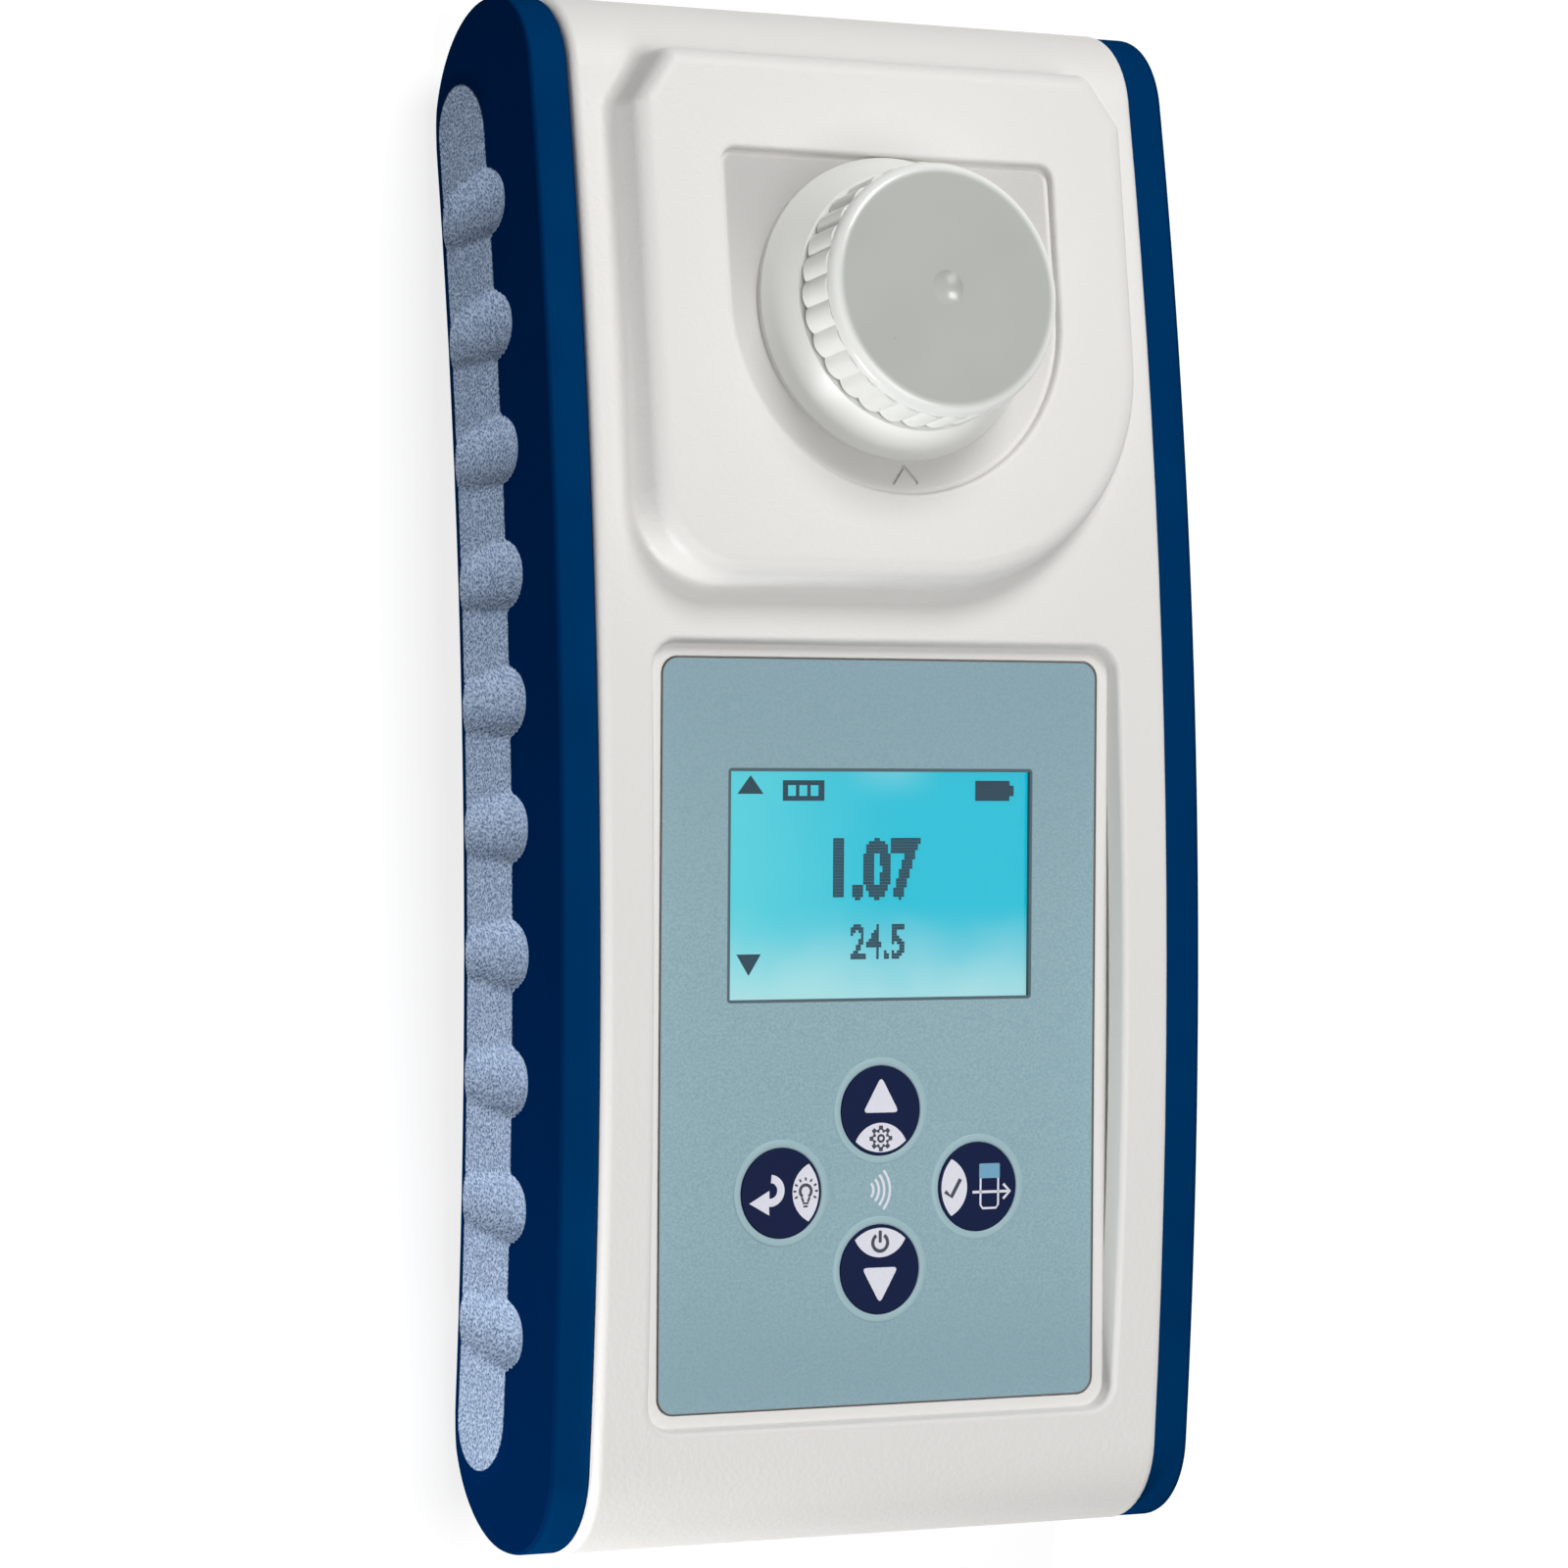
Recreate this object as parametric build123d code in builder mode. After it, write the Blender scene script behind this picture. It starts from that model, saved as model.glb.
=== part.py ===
from build123d import *
import os
from math import cos, radians, sin, sqrt, tan

# Handheld pool photometer, lying on its back.
# X runs across the body, Y runs towards the head end with the sample well, Z points out of the front.
# The origin is on the table, under the middle of the body. Lengths are in millimetres.

# Body: a flat band bent to a gentle arch, seen from the side
body_length = 158.4
body_width = 75.0
crest_height = 29.0
arch_radius = 531.0
band_depth = 24.0
front_end_radius = 9.5
back_end_radius = 13.5
wall = 2.4
parting_drop = 15.5

# Grips: two side cheeks with a row of finger scallops
grip_width = 4.65
grip_edge_radius = 0.8
scallop_count = 10
scallop_pitch = 13.1
scallop_first = -58.35
scallop_radius = 6.1
scallop_depth = 1.25
scallop_end_drop = 11.0
scallop_run_out = 1.8
grip_seam_radius = 0.35

# Front shell: stands a little proud of the cheeks
white_proud = 1.1
white_edge_radius = 0.9

# Head: raised field round the sample well
head_station = 46.25
well_lift = 5.4
head_rise = 0.6
head_side_margin = 2.95
head_foot = 29.4
head_top = 27.6
head_cut_x = 4.5
head_cut_y = 6.6
head_draft = 10.0
head_edge_radius = 2.0
head_corner_left = 10.0
head_corner_right = 25.0
head_corner_cut = 3.0
head_root_radius = 1.6
dish_drop = 0.4
dish_radius = 19.2
dish_top = 15.8
dish_corner = 1.5
dish_edge_radius = 0.5
pointer_apex = -16.2
pointer_angles = (-36.0, 41.0)
pointer_length = 2.3
pointer_width = 0.26
pointer_depth = 0.2
head_roof = 3.0

# Panel: recessed field with the keypad foil
panel_station = -27.2
panel_sink = 1.87
panel_width = 50.7
panel_height = 76.4
panel_corner = 1.8
foil_thickness = 0.5
ledge = 1.4
field_draft = 12.0
field_corner = 2.6
field_edge_radius = 0.6
tray_floor = 2.0
tray_rim = 2.4

# Display
window_width = 34.9
window_height = 23.2
window_y = 15.1
glass_lap = 1.2
window_thickness = 0.7
display_lap = 0.9
display_thickness = 1.6
backlight_thickness = 1.9
frame_wall = 1.7
part_gap = 0.2

# Keys
key_radius = 4.6
key_clearance = 0.08
key_proud = 0.15
key_thickness = 0.9
key_travel = 0.4
key_cross_y = -16.2
key_reach_x = 11.45
key_reach_y = 8.15
key_stem_radius = 1.6

# Circuit board
board_drop = 5.8
board_thickness = 1.6
board_width = 44.0
board_overhang = 1.8
board_y = 2.0
board_corner = 2.0
board_boss_radius = 2.6
board_screw_x = 19.0
board_screw_low_margin = 3.2
board_screw_high_overhang = 0.8
switch_size = 6.0
switch_height = 2.1
plunger_height = 0.5
module_width = 14.0
module_length = 9.0
module_height = 2.0
module_y = -32.5

# Sample vial and its cap, measured along the well's axis from the dish ring
vial_radius = 12.0
vial_wall = 1.2
vial_floor = 1.6
vial_depth = 24.9
shoulder_height = 2.4
neck_radius = 10.7
neck_top = 8.1
vial_clearance = 0.3
seat_gap = 0.3
collar_radius = 15.7
collar_edge = 0.3
collar_height = 4.2
collar_top_wall = 1.1
spigot_wall = 1.8
spigot_clearance = 0.1
seal_ring_height = 1.4
cap_root_radius = 12.7
rib_count = 30
rib_radius = 2.0
rib_reach = 13.2
rib_height = 5.0
cap_shoulder_radius = 13.0
cap_top = 10.9
cap_edge_radius = 1.1
cap_roof = 1.2
cap_thread_clearance = 0.45
liner_thickness = 1.0
dimple_radius = 1.8
dimple_depth = 0.5

# Chamber block with the light path
block_wall = 2.6
block_floor = 1.2
flange_radius = 21.0
flange_thickness = 2.0
optics_depth = 13.0
wing_reach = 23.0
wing_width = 14.0
wing_height = 12.0
port_radius = 2.5
light_radius = 3.0
light_length = 7.0
filter_radius = 4.0
filter_thickness = 1.6
detector_radius = 4.4
detector_thickness = 3.2
chamber_screw_circle = 18.0

# Battery bay in the back
cell_radius = 5.25
cell_length = 43.5
nub_radius = 1.9
nub_length = 1.0
cell_count = 4
cell_pitch = 11.2
bay_slack = 0.45
contact_thickness = 0.5
spring_length = 5.2
spring_radius = 3.2
bay_wall = 1.6
bay_wall_drop = 9.4
lid_thickness = 2.2
lid_lap_y = 2.0
lid_side_margin = 2.85
lid_foot_gap = 0.7
lid_corner = 3.0
lid_clearance = 0.3
sill_thickness = 4.2
lid_seal_thickness = 0.8
lid_seal_width = 1.6

# Fasteners: pan-head screws, given by shank radius, head radius and head height
housing_screw = (1.5, 2.4, 1.8)
small_screw = (1.0, 1.9, 1.3)
housing_screw_margin_x = 6.45
housing_screw_margin_y = 9.5
housing_screw_sink = 4.0
housing_screw_bite = 7.0
lid_screw_margin = 3.2
lid_screw_y = 19.0
lid_screw_bite = 5.0
board_screw_bite = 2.6
chamber_screw_bite = 2.2
boss_radius = 3.4
hole_clearance = 0.2

# Seal between the halves and the feet
seal_width = 1.2
seal_height = 0.6
foot_x = 14.5
foot_margin = 12.6
foot_length = 14.0
foot_width = 4.6
foot_pocket = 1.2

# Derived sizes
half_length = body_length / 2
white_half = body_width / 2 - grip_width
inner_half = white_half - wall
parting_height = crest_height - parting_drop
head_half_width = white_half - head_side_margin
housing_screw_x = white_half - housing_screw_margin_x
housing_screw_y = half_length - housing_screw_margin_y
foot_y = half_length - foot_margin
board_length = panel_height + 2 * board_overhang
board_screw_low = -panel_height / 2 + board_screw_low_margin
board_screw_high = panel_height / 2 + board_screw_high_overhang
lid_width = 2 * (white_half - lid_side_margin)
lid_screw_x = lid_width / 2 - lid_screw_margin
arch_centre = crest_height - arch_radius
back_radius = arch_radius - band_depth
far = 60.0
on_surface = 0.02  # how far off an edge may lie and still count as on the cover


def arc_height(y, radius):
    """Height of an arc about the arch's centre, at the place y along the body."""
    return arch_centre + sqrt(radius**2 - y**2)


def seat_plane(station, lift):
    """Plane square to the arch's local normal, at a place along the crest and a height above it."""
    angle = station / arch_radius
    radius = arch_radius + lift
    return Plane(
        origin=(0, radius * sin(angle), arch_centre + radius * cos(angle)),
        x_dir=(1, 0, 0),
        z_dir=(0, sin(angle), cos(angle)),
    )


panel_plane = seat_plane(panel_station, -panel_sink)
well_plane = seat_plane(head_station, well_lift)


def arc_strip(start, end, low, high):
    """Side view of a strip between two arcs of the body, cut square at both ends."""
    middle = (start + end) / 2
    with BuildSketch() as strip:
        with BuildLine():
            ThreePointArc(
                (start, arc_height(start, high)),
                (middle, arc_height(middle, high)),
                (end, arc_height(end, high)),
            )
            Line((end, arc_height(end, high)), (end, arc_height(end, low)))
            ThreePointArc(
                (end, arc_height(end, low)),
                (middle, arc_height(middle, low)),
                (start, arc_height(start, low)),
            )
            Line((start, arc_height(start, low)), (start, arc_height(start, high)))
        make_face()
    return strip.sketch


def side_outline(proud=0.0, inset=0.0):
    """Side view of the body: the arched band with rounded ends, set in by a wall if asked."""
    half = half_length - inset
    with BuildSketch() as outline:
        add(arc_strip(-half, half, back_radius + inset, arch_radius + proud - inset))
        fillet(vertices().group_by(Axis.Y)[-1], front_end_radius - inset)
        fillet(vertices().group_by(Axis.Y)[0], back_end_radius - inset)
    return outline.sketch


def head_outline(inset=0.0):
    """Outline of the raised head: cut corners at the top, a tight and a wide corner at the foot."""
    side = head_half_width - inset
    foot = -head_foot + inset
    top = head_top - inset
    with BuildSketch() as outline:
        with BuildLine():
            Polyline(
                (-side, foot),
                (side, foot),
                (side, top - head_cut_y),
                (side - head_cut_x, top),
                (-side + head_cut_x, top),
                (-side, top - head_cut_y),
                close=True,
            )
        make_face()
        fillet(vertices().sort_by(Axis.Y)[-4:], head_corner_cut)
        fillet(vertices().group_by(Axis.Y)[0].sort_by(Axis.X)[0], head_corner_left - inset)
        fillet(vertices().group_by(Axis.Y)[0].sort_by(Axis.X)[-1], head_corner_right - inset)
    return outline.sketch


def lies_on_cover(point):
    """Whether a point is on the arched outside of the front cover, away from its long edges."""
    inside = abs(point.X) < white_half - 2 * white_edge_radius
    off = arc_height(point.Y, arch_radius + white_proud) - point.Z
    return inside and abs(off) < on_surface


def screws(planes, sizes, grip, bite):
    """Pan-head screws. Each plane lies on the clamped face, and its normal points out of the head."""
    shank, head, head_height = sizes
    for plane in planes:
        with Locations(plane):
            Cylinder(head, head_height, align=(Align.CENTER, Align.CENTER, Align.MIN))
            Cylinder(shank, grip + bite, align=(Align.CENTER, Align.CENTER, Align.MAX))


def places_on(plane, points):
    """Planes that share one plane's direction, at points given in its own X, Y and Z."""
    return [Plane(plane.from_local_coords(p), x_dir=plane.x_dir, z_dir=plane.z_dir) for p in points]


def flipped(planes):
    """The same places, looking the other way along their normals."""
    return [Plane(p.origin, x_dir=p.x_dir, z_dir=-p.z_dir) for p in planes]


# Places that several pieces share
tray_bottom = -foil_thickness - tray_floor
key_places = {
    "key_up": (0, key_cross_y + key_reach_y),
    "key_back": (-key_reach_x, key_cross_y),
    "key_test": (key_reach_x, key_cross_y),
    "key_down": (0, key_cross_y - key_reach_y),
}
board_screw_points = [
    (side * board_screw_x, y) for side in (-1, 1) for y in (board_screw_low, board_screw_high)
]
housing_screw_points = [
    (side * housing_screw_x, end * housing_screw_y) for side in (-1, 1) for end in (-1, 1)
]
chamber_screw_points = [
    (a * chamber_screw_circle * sqrt(0.5), b * chamber_screw_circle * sqrt(0.5))
    for a in (-1, 1)
    for b in (-1, 1)
]
roof_bottom = -dish_drop - head_roof
bore_radius = vial_radius + vial_clearance
spigot_radius = bore_radius + spigot_wall
bay_width = cell_pitch * (cell_count - 1) + 2 * (cell_radius + bay_slack)
bay_length = cell_length + nub_length + spring_length + 2 * contact_thickness + seat_gap
lid_length = bay_length + 2 * lid_lap_y
lid_low = -foot_y + foot_width / 2 + lid_foot_gap
lid_high = lid_low + lid_length
bay_mid = (lid_low + lid_high) / 2
panel_foot = panel_plane.from_local_coords((0, 0, panel_sink - band_depth))
bay_y = (bay_mid - panel_foot.Y) / panel_plane.y_dir.Y
lid_top_radius = back_radius + lid_thickness
cell_axis_drop = -(lid_top_radius - arch_radius + panel_sink) - seat_gap - cell_radius
lid_screw_points = [
    (side * lid_screw_x, bay_y + end * lid_screw_y) for side in (-1, 1) for end in (-1, 1)
]
lid_screw_seats = []
for x, y in lid_screw_points:
    seat = seat_plane(panel_station + y, small_screw[2] - band_depth).origin
    lid_screw_seats.append(Plane((x, seat.Y, seat.Z), x_dir=(1, 0, 0), z_dir=panel_plane.z_dir))

# Hollow of the front shell: it follows the body and the head, with the screw bosses kept out of it
with BuildPart() as front_hollow:
    with BuildSketch(Plane.YZ):
        add(side_outline(proud=white_proud, inset=wall))
    extrude(amount=inner_half, both=True)
    with BuildSketch(well_plane.offset(-front_end_radius)):
        add(head_outline(inset=wall + front_end_radius * tan(radians(head_draft))))
    extrude(amount=front_end_radius + roof_bottom)
    with BuildSketch(Plane.XY.offset(parting_height)):
        with Locations(*housing_screw_points):
            Circle(boss_radius)
    extrude(amount=far, mode=Mode.SUBTRACT)

# Front shell: arched cover with the raised head, the dish and the recessed panel field
with BuildPart() as front_shell:
    with BuildSketch(Plane.YZ):
        add(side_outline(proud=white_proud))
    extrude(amount=white_half, both=True)
    fillet(faces().filter_by(Axis.X).edges(), white_edge_radius)
    with BuildSketch(well_plane.offset(-front_end_radius)):
        add(head_outline())
    extrude(amount=front_end_radius + head_rise, taper=head_draft)
    fillet(faces().sort_by(Axis.Z)[-1].edges(), head_edge_radius)
    fillet(edges().filter_by(lambda e: lies_on_cover(e.position_at(0.5))), head_root_radius)
    split(bisect_by=Plane.XY.offset(parting_height), keep=Keep.TOP)

    add(front_hollow.part, mode=Mode.SUBTRACT)

    # floor under the panel, then the recessed field and the pocket for the foil
    with BuildSketch(panel_plane.offset(tray_bottom)):
        RectangleRounded(
            panel_width + 2 * (ledge + tray_rim), panel_height + 2 * (ledge + tray_rim), field_corner
        )
    extrude(amount=-tray_bottom)
    with BuildSketch(panel_plane):
        RectangleRounded(panel_width + 2 * ledge, panel_height + 2 * ledge, field_corner)
    extrude(amount=far / 10, taper=-field_draft, mode=Mode.SUBTRACT)
    field_end = head_station - head_foot - ledge
    field_brim = edges().filter_by(
        lambda edge: lies_on_cover(edge.position_at(0.5)) and edge.position_at(0.5).Y < field_end
    )
    fillet(field_brim, field_edge_radius)
    with BuildSketch(panel_plane.offset(-foil_thickness)):
        RectangleRounded(panel_width + part_gap, panel_height + part_gap, panel_corner)
    extrude(amount=foil_thickness, mode=Mode.SUBTRACT)

    # display opening with a step for the window, and the wells and holes of the keys
    with BuildSketch(panel_plane.offset(-foil_thickness - window_thickness)):
        with Locations((0, window_y)):
            Rectangle(
                window_width + 2 * glass_lap + part_gap, window_height + 2 * glass_lap + part_gap
            )
    extrude(amount=window_thickness, mode=Mode.SUBTRACT)
    with BuildSketch(panel_plane.offset(tray_bottom)):
        with Locations((0, window_y)):
            Rectangle(
                window_width + 2 * display_lap + part_gap,
                window_height + 2 * display_lap + part_gap,
            )
        with Locations(*key_places.values()):
            Circle(key_stem_radius + 2 * part_gap)
    extrude(amount=tray_floor, mode=Mode.SUBTRACT)
    key_well = key_thickness - key_proud + key_travel + part_gap
    with BuildSketch(panel_plane.offset(-key_well)):
        with Locations(*key_places.values()):
            Circle(key_radius + part_gap)
    extrude(amount=key_well, mode=Mode.SUBTRACT)

    # posts for the circuit board, drilled for its screws
    with BuildSketch(panel_plane.offset(-board_drop)):
        with Locations(*board_screw_points):
            Circle(board_boss_radius)
    extrude(amount=board_drop + tray_bottom + part_gap)
    with BuildSketch(panel_plane.offset(-board_drop)):
        with Locations(*board_screw_points):
            Circle(small_screw[0] + hole_clearance / 4)
    extrude(amount=board_screw_bite + part_gap, mode=Mode.SUBTRACT)

    # dish, well for the collar, and pilot holes
    with BuildSketch(well_plane.offset(-dish_drop)):
        Circle(dish_radius)
        Rectangle(
            3 * dish_radius, dish_radius, align=(Align.CENTER, Align.MIN), mode=Mode.SUBTRACT
        )
        Rectangle(2 * dish_radius, dish_top, align=(Align.CENTER, Align.MIN))
        fillet(vertices().group_by(Axis.Y)[-1], dish_corner)
    extrude(amount=far / 10, mode=Mode.SUBTRACT)
    well_axis = Axis(well_plane.origin, well_plane.z_dir)
    head_face = faces().filter_by(well_axis).sort_by(well_axis)[-1]
    fillet(head_face.inner_wires().edges(), dish_edge_radius)
    with BuildSketch(well_plane.offset(-dish_drop)):
        with Locations((0, pointer_apex)):
            for angle in pointer_angles:
                Rectangle(
                    pointer_width, pointer_length, rotation=angle, align=(Align.CENTER, Align.MAX)
                )
    extrude(amount=-pointer_depth, mode=Mode.SUBTRACT)
    with BuildSketch(well_plane.offset(roof_bottom)):
        Circle(spigot_radius + spigot_clearance)
    extrude(amount=head_roof, mode=Mode.SUBTRACT)
    with BuildSketch(well_plane.offset(roof_bottom)):
        with Locations(*chamber_screw_points):
            Circle(small_screw[0] + hole_clearance / 4)
    extrude(amount=chamber_screw_bite + part_gap, mode=Mode.SUBTRACT)
    with BuildSketch(Plane.XY.offset(parting_height)):
        with Locations(*housing_screw_points):
            Circle(housing_screw[0] + hole_clearance / 4)
    extrude(amount=housing_screw_bite + part_gap, mode=Mode.SUBTRACT)

# Hollow of the rear shell: the walls of the battery bay and the bosses are kept out of it
with BuildPart() as rear_hollow:
    with BuildSketch(Plane.YZ):
        add(side_outline(proud=white_proud, inset=wall))
    extrude(amount=inner_half, both=True)
    with BuildSketch(panel_plane.offset(-bay_wall_drop)):
        with Locations((0, bay_y)):
            Rectangle(bay_width + 2 * bay_wall, bay_length + 2 * bay_wall)
            Rectangle(bay_width, bay_length, mode=Mode.SUBTRACT)
        with Locations(*lid_screw_points):
            Circle(boss_radius)
    extrude(amount=-far, mode=Mode.SUBTRACT)
    with BuildSketch(Plane.YZ):
        add(arc_strip(lid_low - lid_lap_y, lid_high + lid_lap_y, back_radius, back_radius + sill_thickness))
    extrude(amount=inner_half, both=True, mode=Mode.SUBTRACT)
    with BuildSketch(Plane.XY.offset(parting_height)):
        with Locations(*housing_screw_points):
            Circle(boss_radius)
    extrude(amount=-far, mode=Mode.SUBTRACT)

# Seat of the battery lid, cut into the back along the arch
with BuildPart() as lid_recess:
    with BuildSketch(Plane.YZ):
        add(
            arc_strip(
                lid_low - lid_clearance, lid_high + lid_clearance, back_radius - wall, lid_top_radius
            )
        )
    extrude(amount=lid_width / 2 + lid_clearance, both=True)
    fillet(edges().filter_by(Axis.Z), lid_corner + lid_clearance)

# Rear shell: the back of the housing, with the battery bay and the seats of the lid and the feet
with BuildPart() as rear_shell:
    with BuildSketch(Plane.YZ):
        add(side_outline(proud=white_proud))
    extrude(amount=white_half, both=True)
    fillet(faces().filter_by(Axis.X).edges(), white_edge_radius)
    split(bisect_by=Plane.XY.offset(parting_height), keep=Keep.BOTTOM)
    add(rear_hollow.part, mode=Mode.SUBTRACT)

    # groove for the seal between the halves
    with BuildSketch(Plane.XY.offset(parting_height)):
        seal_half_x = white_half - (wall - seal_width) / 2
        seal_half_y = half_length - (wall - seal_width) / 2
        Rectangle(2 * seal_half_x, 2 * seal_half_y)
        Rectangle(2 * (seal_half_x - seal_width), 2 * (seal_half_y - seal_width), mode=Mode.SUBTRACT)
    extrude(amount=-seal_height, mode=Mode.SUBTRACT)

    # bay opening, seat of the lid and groove of its seal
    with BuildSketch(panel_plane.offset(-bay_wall_drop)):
        with Locations((0, bay_y)):
            Rectangle(bay_width, bay_length)
    extrude(amount=-far, mode=Mode.SUBTRACT)
    add(lid_recess.part, mode=Mode.SUBTRACT)
    with BuildSketch(Plane.YZ):
        add(
            arc_strip(
                bay_mid - bay_length / 2 - lid_seal_width,
                bay_mid + bay_length / 2 + lid_seal_width,
                lid_top_radius - part_gap,
                lid_top_radius + lid_seal_thickness,
            )
        )
    extrude(amount=bay_width / 2 + lid_seal_width, both=True, mode=Mode.SUBTRACT)

    # screw holes: through holes with sunk heads for the housing, pilots for the lid
    for x, y in housing_screw_points:
        seat_height = arc_height(y, back_radius) + housing_screw_sink
        with BuildSketch(Plane.XY.offset(seat_height)):
            with Locations((x, y)):
                Circle(housing_screw[1] + hole_clearance)
        extrude(amount=-far, mode=Mode.SUBTRACT)
        with BuildSketch(Plane.XY.offset(parting_height)):
            with Locations((x, y)):
                Circle(housing_screw[0] + hole_clearance)
        extrude(amount=seat_height - parting_height, mode=Mode.SUBTRACT)
    with Locations(*lid_screw_seats):
        Cylinder(
            small_screw[0] + hole_clearance,
            lid_thickness + lid_screw_bite,
            align=(Align.CENTER, Align.CENTER, Align.MIN),
            mode=Mode.SUBTRACT,
        )

    # pockets of the feet
    for end in (-1, 1):
        with BuildSketch(Plane.XY.offset(arc_height(foot_y, back_radius) + foot_pocket)):
            with Locations((-foot_x, end * foot_y), (foot_x, end * foot_y)):
                SlotOverall(foot_length + part_gap, foot_width + part_gap)
        extrude(amount=-far, mode=Mode.SUBTRACT)

# Grips: a cheek on each side, scalloped on its outer face
grips = {}
for grip_name, side in (("left_grip", -1), ("right_grip", 1)):
    with BuildPart() as grip:
        with BuildSketch(Plane.YZ.offset(side * white_half)):
            add(side_outline())
        extrude(amount=side * grip_width)
        outer_face = faces().filter_by(Axis.X).sort_by(Axis.X)[0 if side < 0 else -1]
        fillet(outer_face.edges(), grip_edge_radius)
        inner_face = faces().filter_by(Axis.X).sort_by(Axis.X)[-1 if side < 0 else 0]
        fillet(inner_face.edges(), grip_seam_radius)
        scallop_axis_x = side * (body_width / 2 + scallop_radius - scallop_depth)
        scallop_planes = []
        for i in range(scallop_count):
            radial = seat_plane(scallop_first + i * scallop_pitch, -scallop_end_drop)
            tip = radial.from_local_coords((scallop_axis_x, 0, 0))
            lean = Plane(tip, x_dir=radial.y_dir, z_dir=radial.z_dir)
            scallop_planes.append(lean.rotated((-side * scallop_run_out, 0, 0)))
        with Locations(*scallop_planes):
            Cylinder(
                scallop_radius,
                band_depth,
                align=(Align.CENTER, Align.CENTER, Align.MAX),
                mode=Mode.SUBTRACT,
            )
            Sphere(scallop_radius, mode=Mode.SUBTRACT)
    grips[grip_name] = grip.part

# Seal between the housing halves
with BuildPart() as housing_seal:
    with BuildSketch(Plane.XY.offset(parting_height - seal_height)):
        Rectangle(2 * seal_half_x, 2 * seal_half_y)
        Rectangle(2 * (seal_half_x - seal_width), 2 * (seal_half_y - seal_width), mode=Mode.SUBTRACT)
    extrude(amount=seal_height)

# Keypad foil with the cut-outs for the window and the keys
with BuildPart() as keypad_foil:
    with BuildSketch(panel_plane.offset(-foil_thickness)):
        RectangleRounded(panel_width, panel_height, panel_corner)
        with Locations((0, window_y)):
            Rectangle(window_width, window_height, mode=Mode.SUBTRACT)
        with Locations(*key_places.values()):
            Circle(key_radius + key_clearance, mode=Mode.SUBTRACT)
    extrude(amount=foil_thickness)

# Keys: a disc in the foil with a stem down to its switch
plunger_top = -board_drop + switch_height + plunger_height
keys = {}
for key_name, place in key_places.items():
    with BuildPart() as key:
        with BuildSketch(panel_plane.offset(key_proud - key_thickness)):
            with Locations(place):
                Circle(key_radius)
        extrude(amount=key_thickness)
        fillet(faces().filter_by(GeomType.PLANE).sort_by(Axis.Z)[-1].edges(), key_proud)
        with BuildSketch(panel_plane.offset(plunger_top + key_travel + part_gap / 2)):
            with Locations(place):
                Circle(key_stem_radius)
        extrude(amount=key_proud - key_thickness / 2 - plunger_top - key_travel - part_gap / 2)
    keys[key_name] = key.part

# Switches under the keys
with BuildPart() as key_switches:
    with BuildSketch(panel_plane.offset(-board_drop)):
        with Locations(*key_places.values()):
            RectangleRounded(switch_size, switch_size, switch_size / 10)
    extrude(amount=switch_height)
    with BuildSketch(panel_plane.offset(-board_drop + switch_height)):
        with Locations(*key_places.values()):
            Circle(key_stem_radius)
    extrude(amount=plunger_height)

# Display: window under the foil, display glass, light guide behind it and the frame that holds them
with BuildPart() as display_window:
    with BuildSketch(panel_plane.offset(-foil_thickness - window_thickness)):
        with Locations((0, window_y)):
            Rectangle(window_width + 2 * glass_lap, window_height + 2 * glass_lap)
    extrude(amount=window_thickness)

display_top = -foil_thickness - window_thickness
display_size = (window_width + 2 * display_lap, window_height + 2 * display_lap)
with BuildPart() as display_glass:
    with BuildSketch(panel_plane.offset(display_top - display_thickness)):
        with Locations((0, window_y)):
            Rectangle(*display_size)
    extrude(amount=display_thickness)

backlight_bottom = display_top - display_thickness - backlight_thickness
with BuildPart() as backlight:
    with BuildSketch(panel_plane.offset(backlight_bottom)):
        with Locations((0, window_y)):
            Rectangle(*display_size)
    extrude(amount=backlight_thickness)

with BuildPart() as display_frame:
    with BuildSketch(panel_plane.offset(-board_drop)):
        with Locations((0, window_y)):
            Rectangle(display_size[0] + 2 * frame_wall, display_size[1] + 2 * frame_wall)
    extrude(amount=board_drop + tray_bottom)
    with BuildSketch(panel_plane.offset(backlight_bottom)):
        with Locations((0, window_y)):
            Rectangle(display_size[0] + part_gap, display_size[1] + part_gap)
    extrude(amount=tray_bottom - backlight_bottom, mode=Mode.SUBTRACT)

# Circuit board, its screws and the data module
with BuildPart() as circuit_board:
    with BuildSketch(panel_plane.offset(-board_drop - board_thickness)):
        with Locations((0, board_y)):
            RectangleRounded(board_width, board_length, board_corner)
        with Locations(*board_screw_points):
            Circle(small_screw[0] + hole_clearance, mode=Mode.SUBTRACT)
    extrude(amount=board_thickness)

with BuildPart() as board_screws:
    board_seats = places_on(
        panel_plane, [(x, y, -board_drop - board_thickness) for x, y in board_screw_points]
    )
    screws(flipped(board_seats), small_screw, board_thickness, board_screw_bite)

with BuildPart() as data_module:
    with BuildSketch(panel_plane.offset(-board_drop)):
        with Locations((0, module_y)):
            Rectangle(module_width, module_length)
    extrude(amount=module_height)

# Collar: the light shield round the well, with a spigot through the front shell
with BuildPart() as chamber_collar:
    with BuildSketch(Plane.XZ):
        with BuildLine():
            Polyline(
                (bore_radius, roof_bottom),
                (spigot_radius, roof_bottom),
                (spigot_radius, -dish_drop),
                (collar_radius, -dish_drop),
                (collar_radius, collar_edge),
                (bore_radius + collar_top_wall, collar_height),
                (bore_radius, collar_height),
                close=True,
            )
        make_face()
    revolve(axis=Axis.Z)

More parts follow.
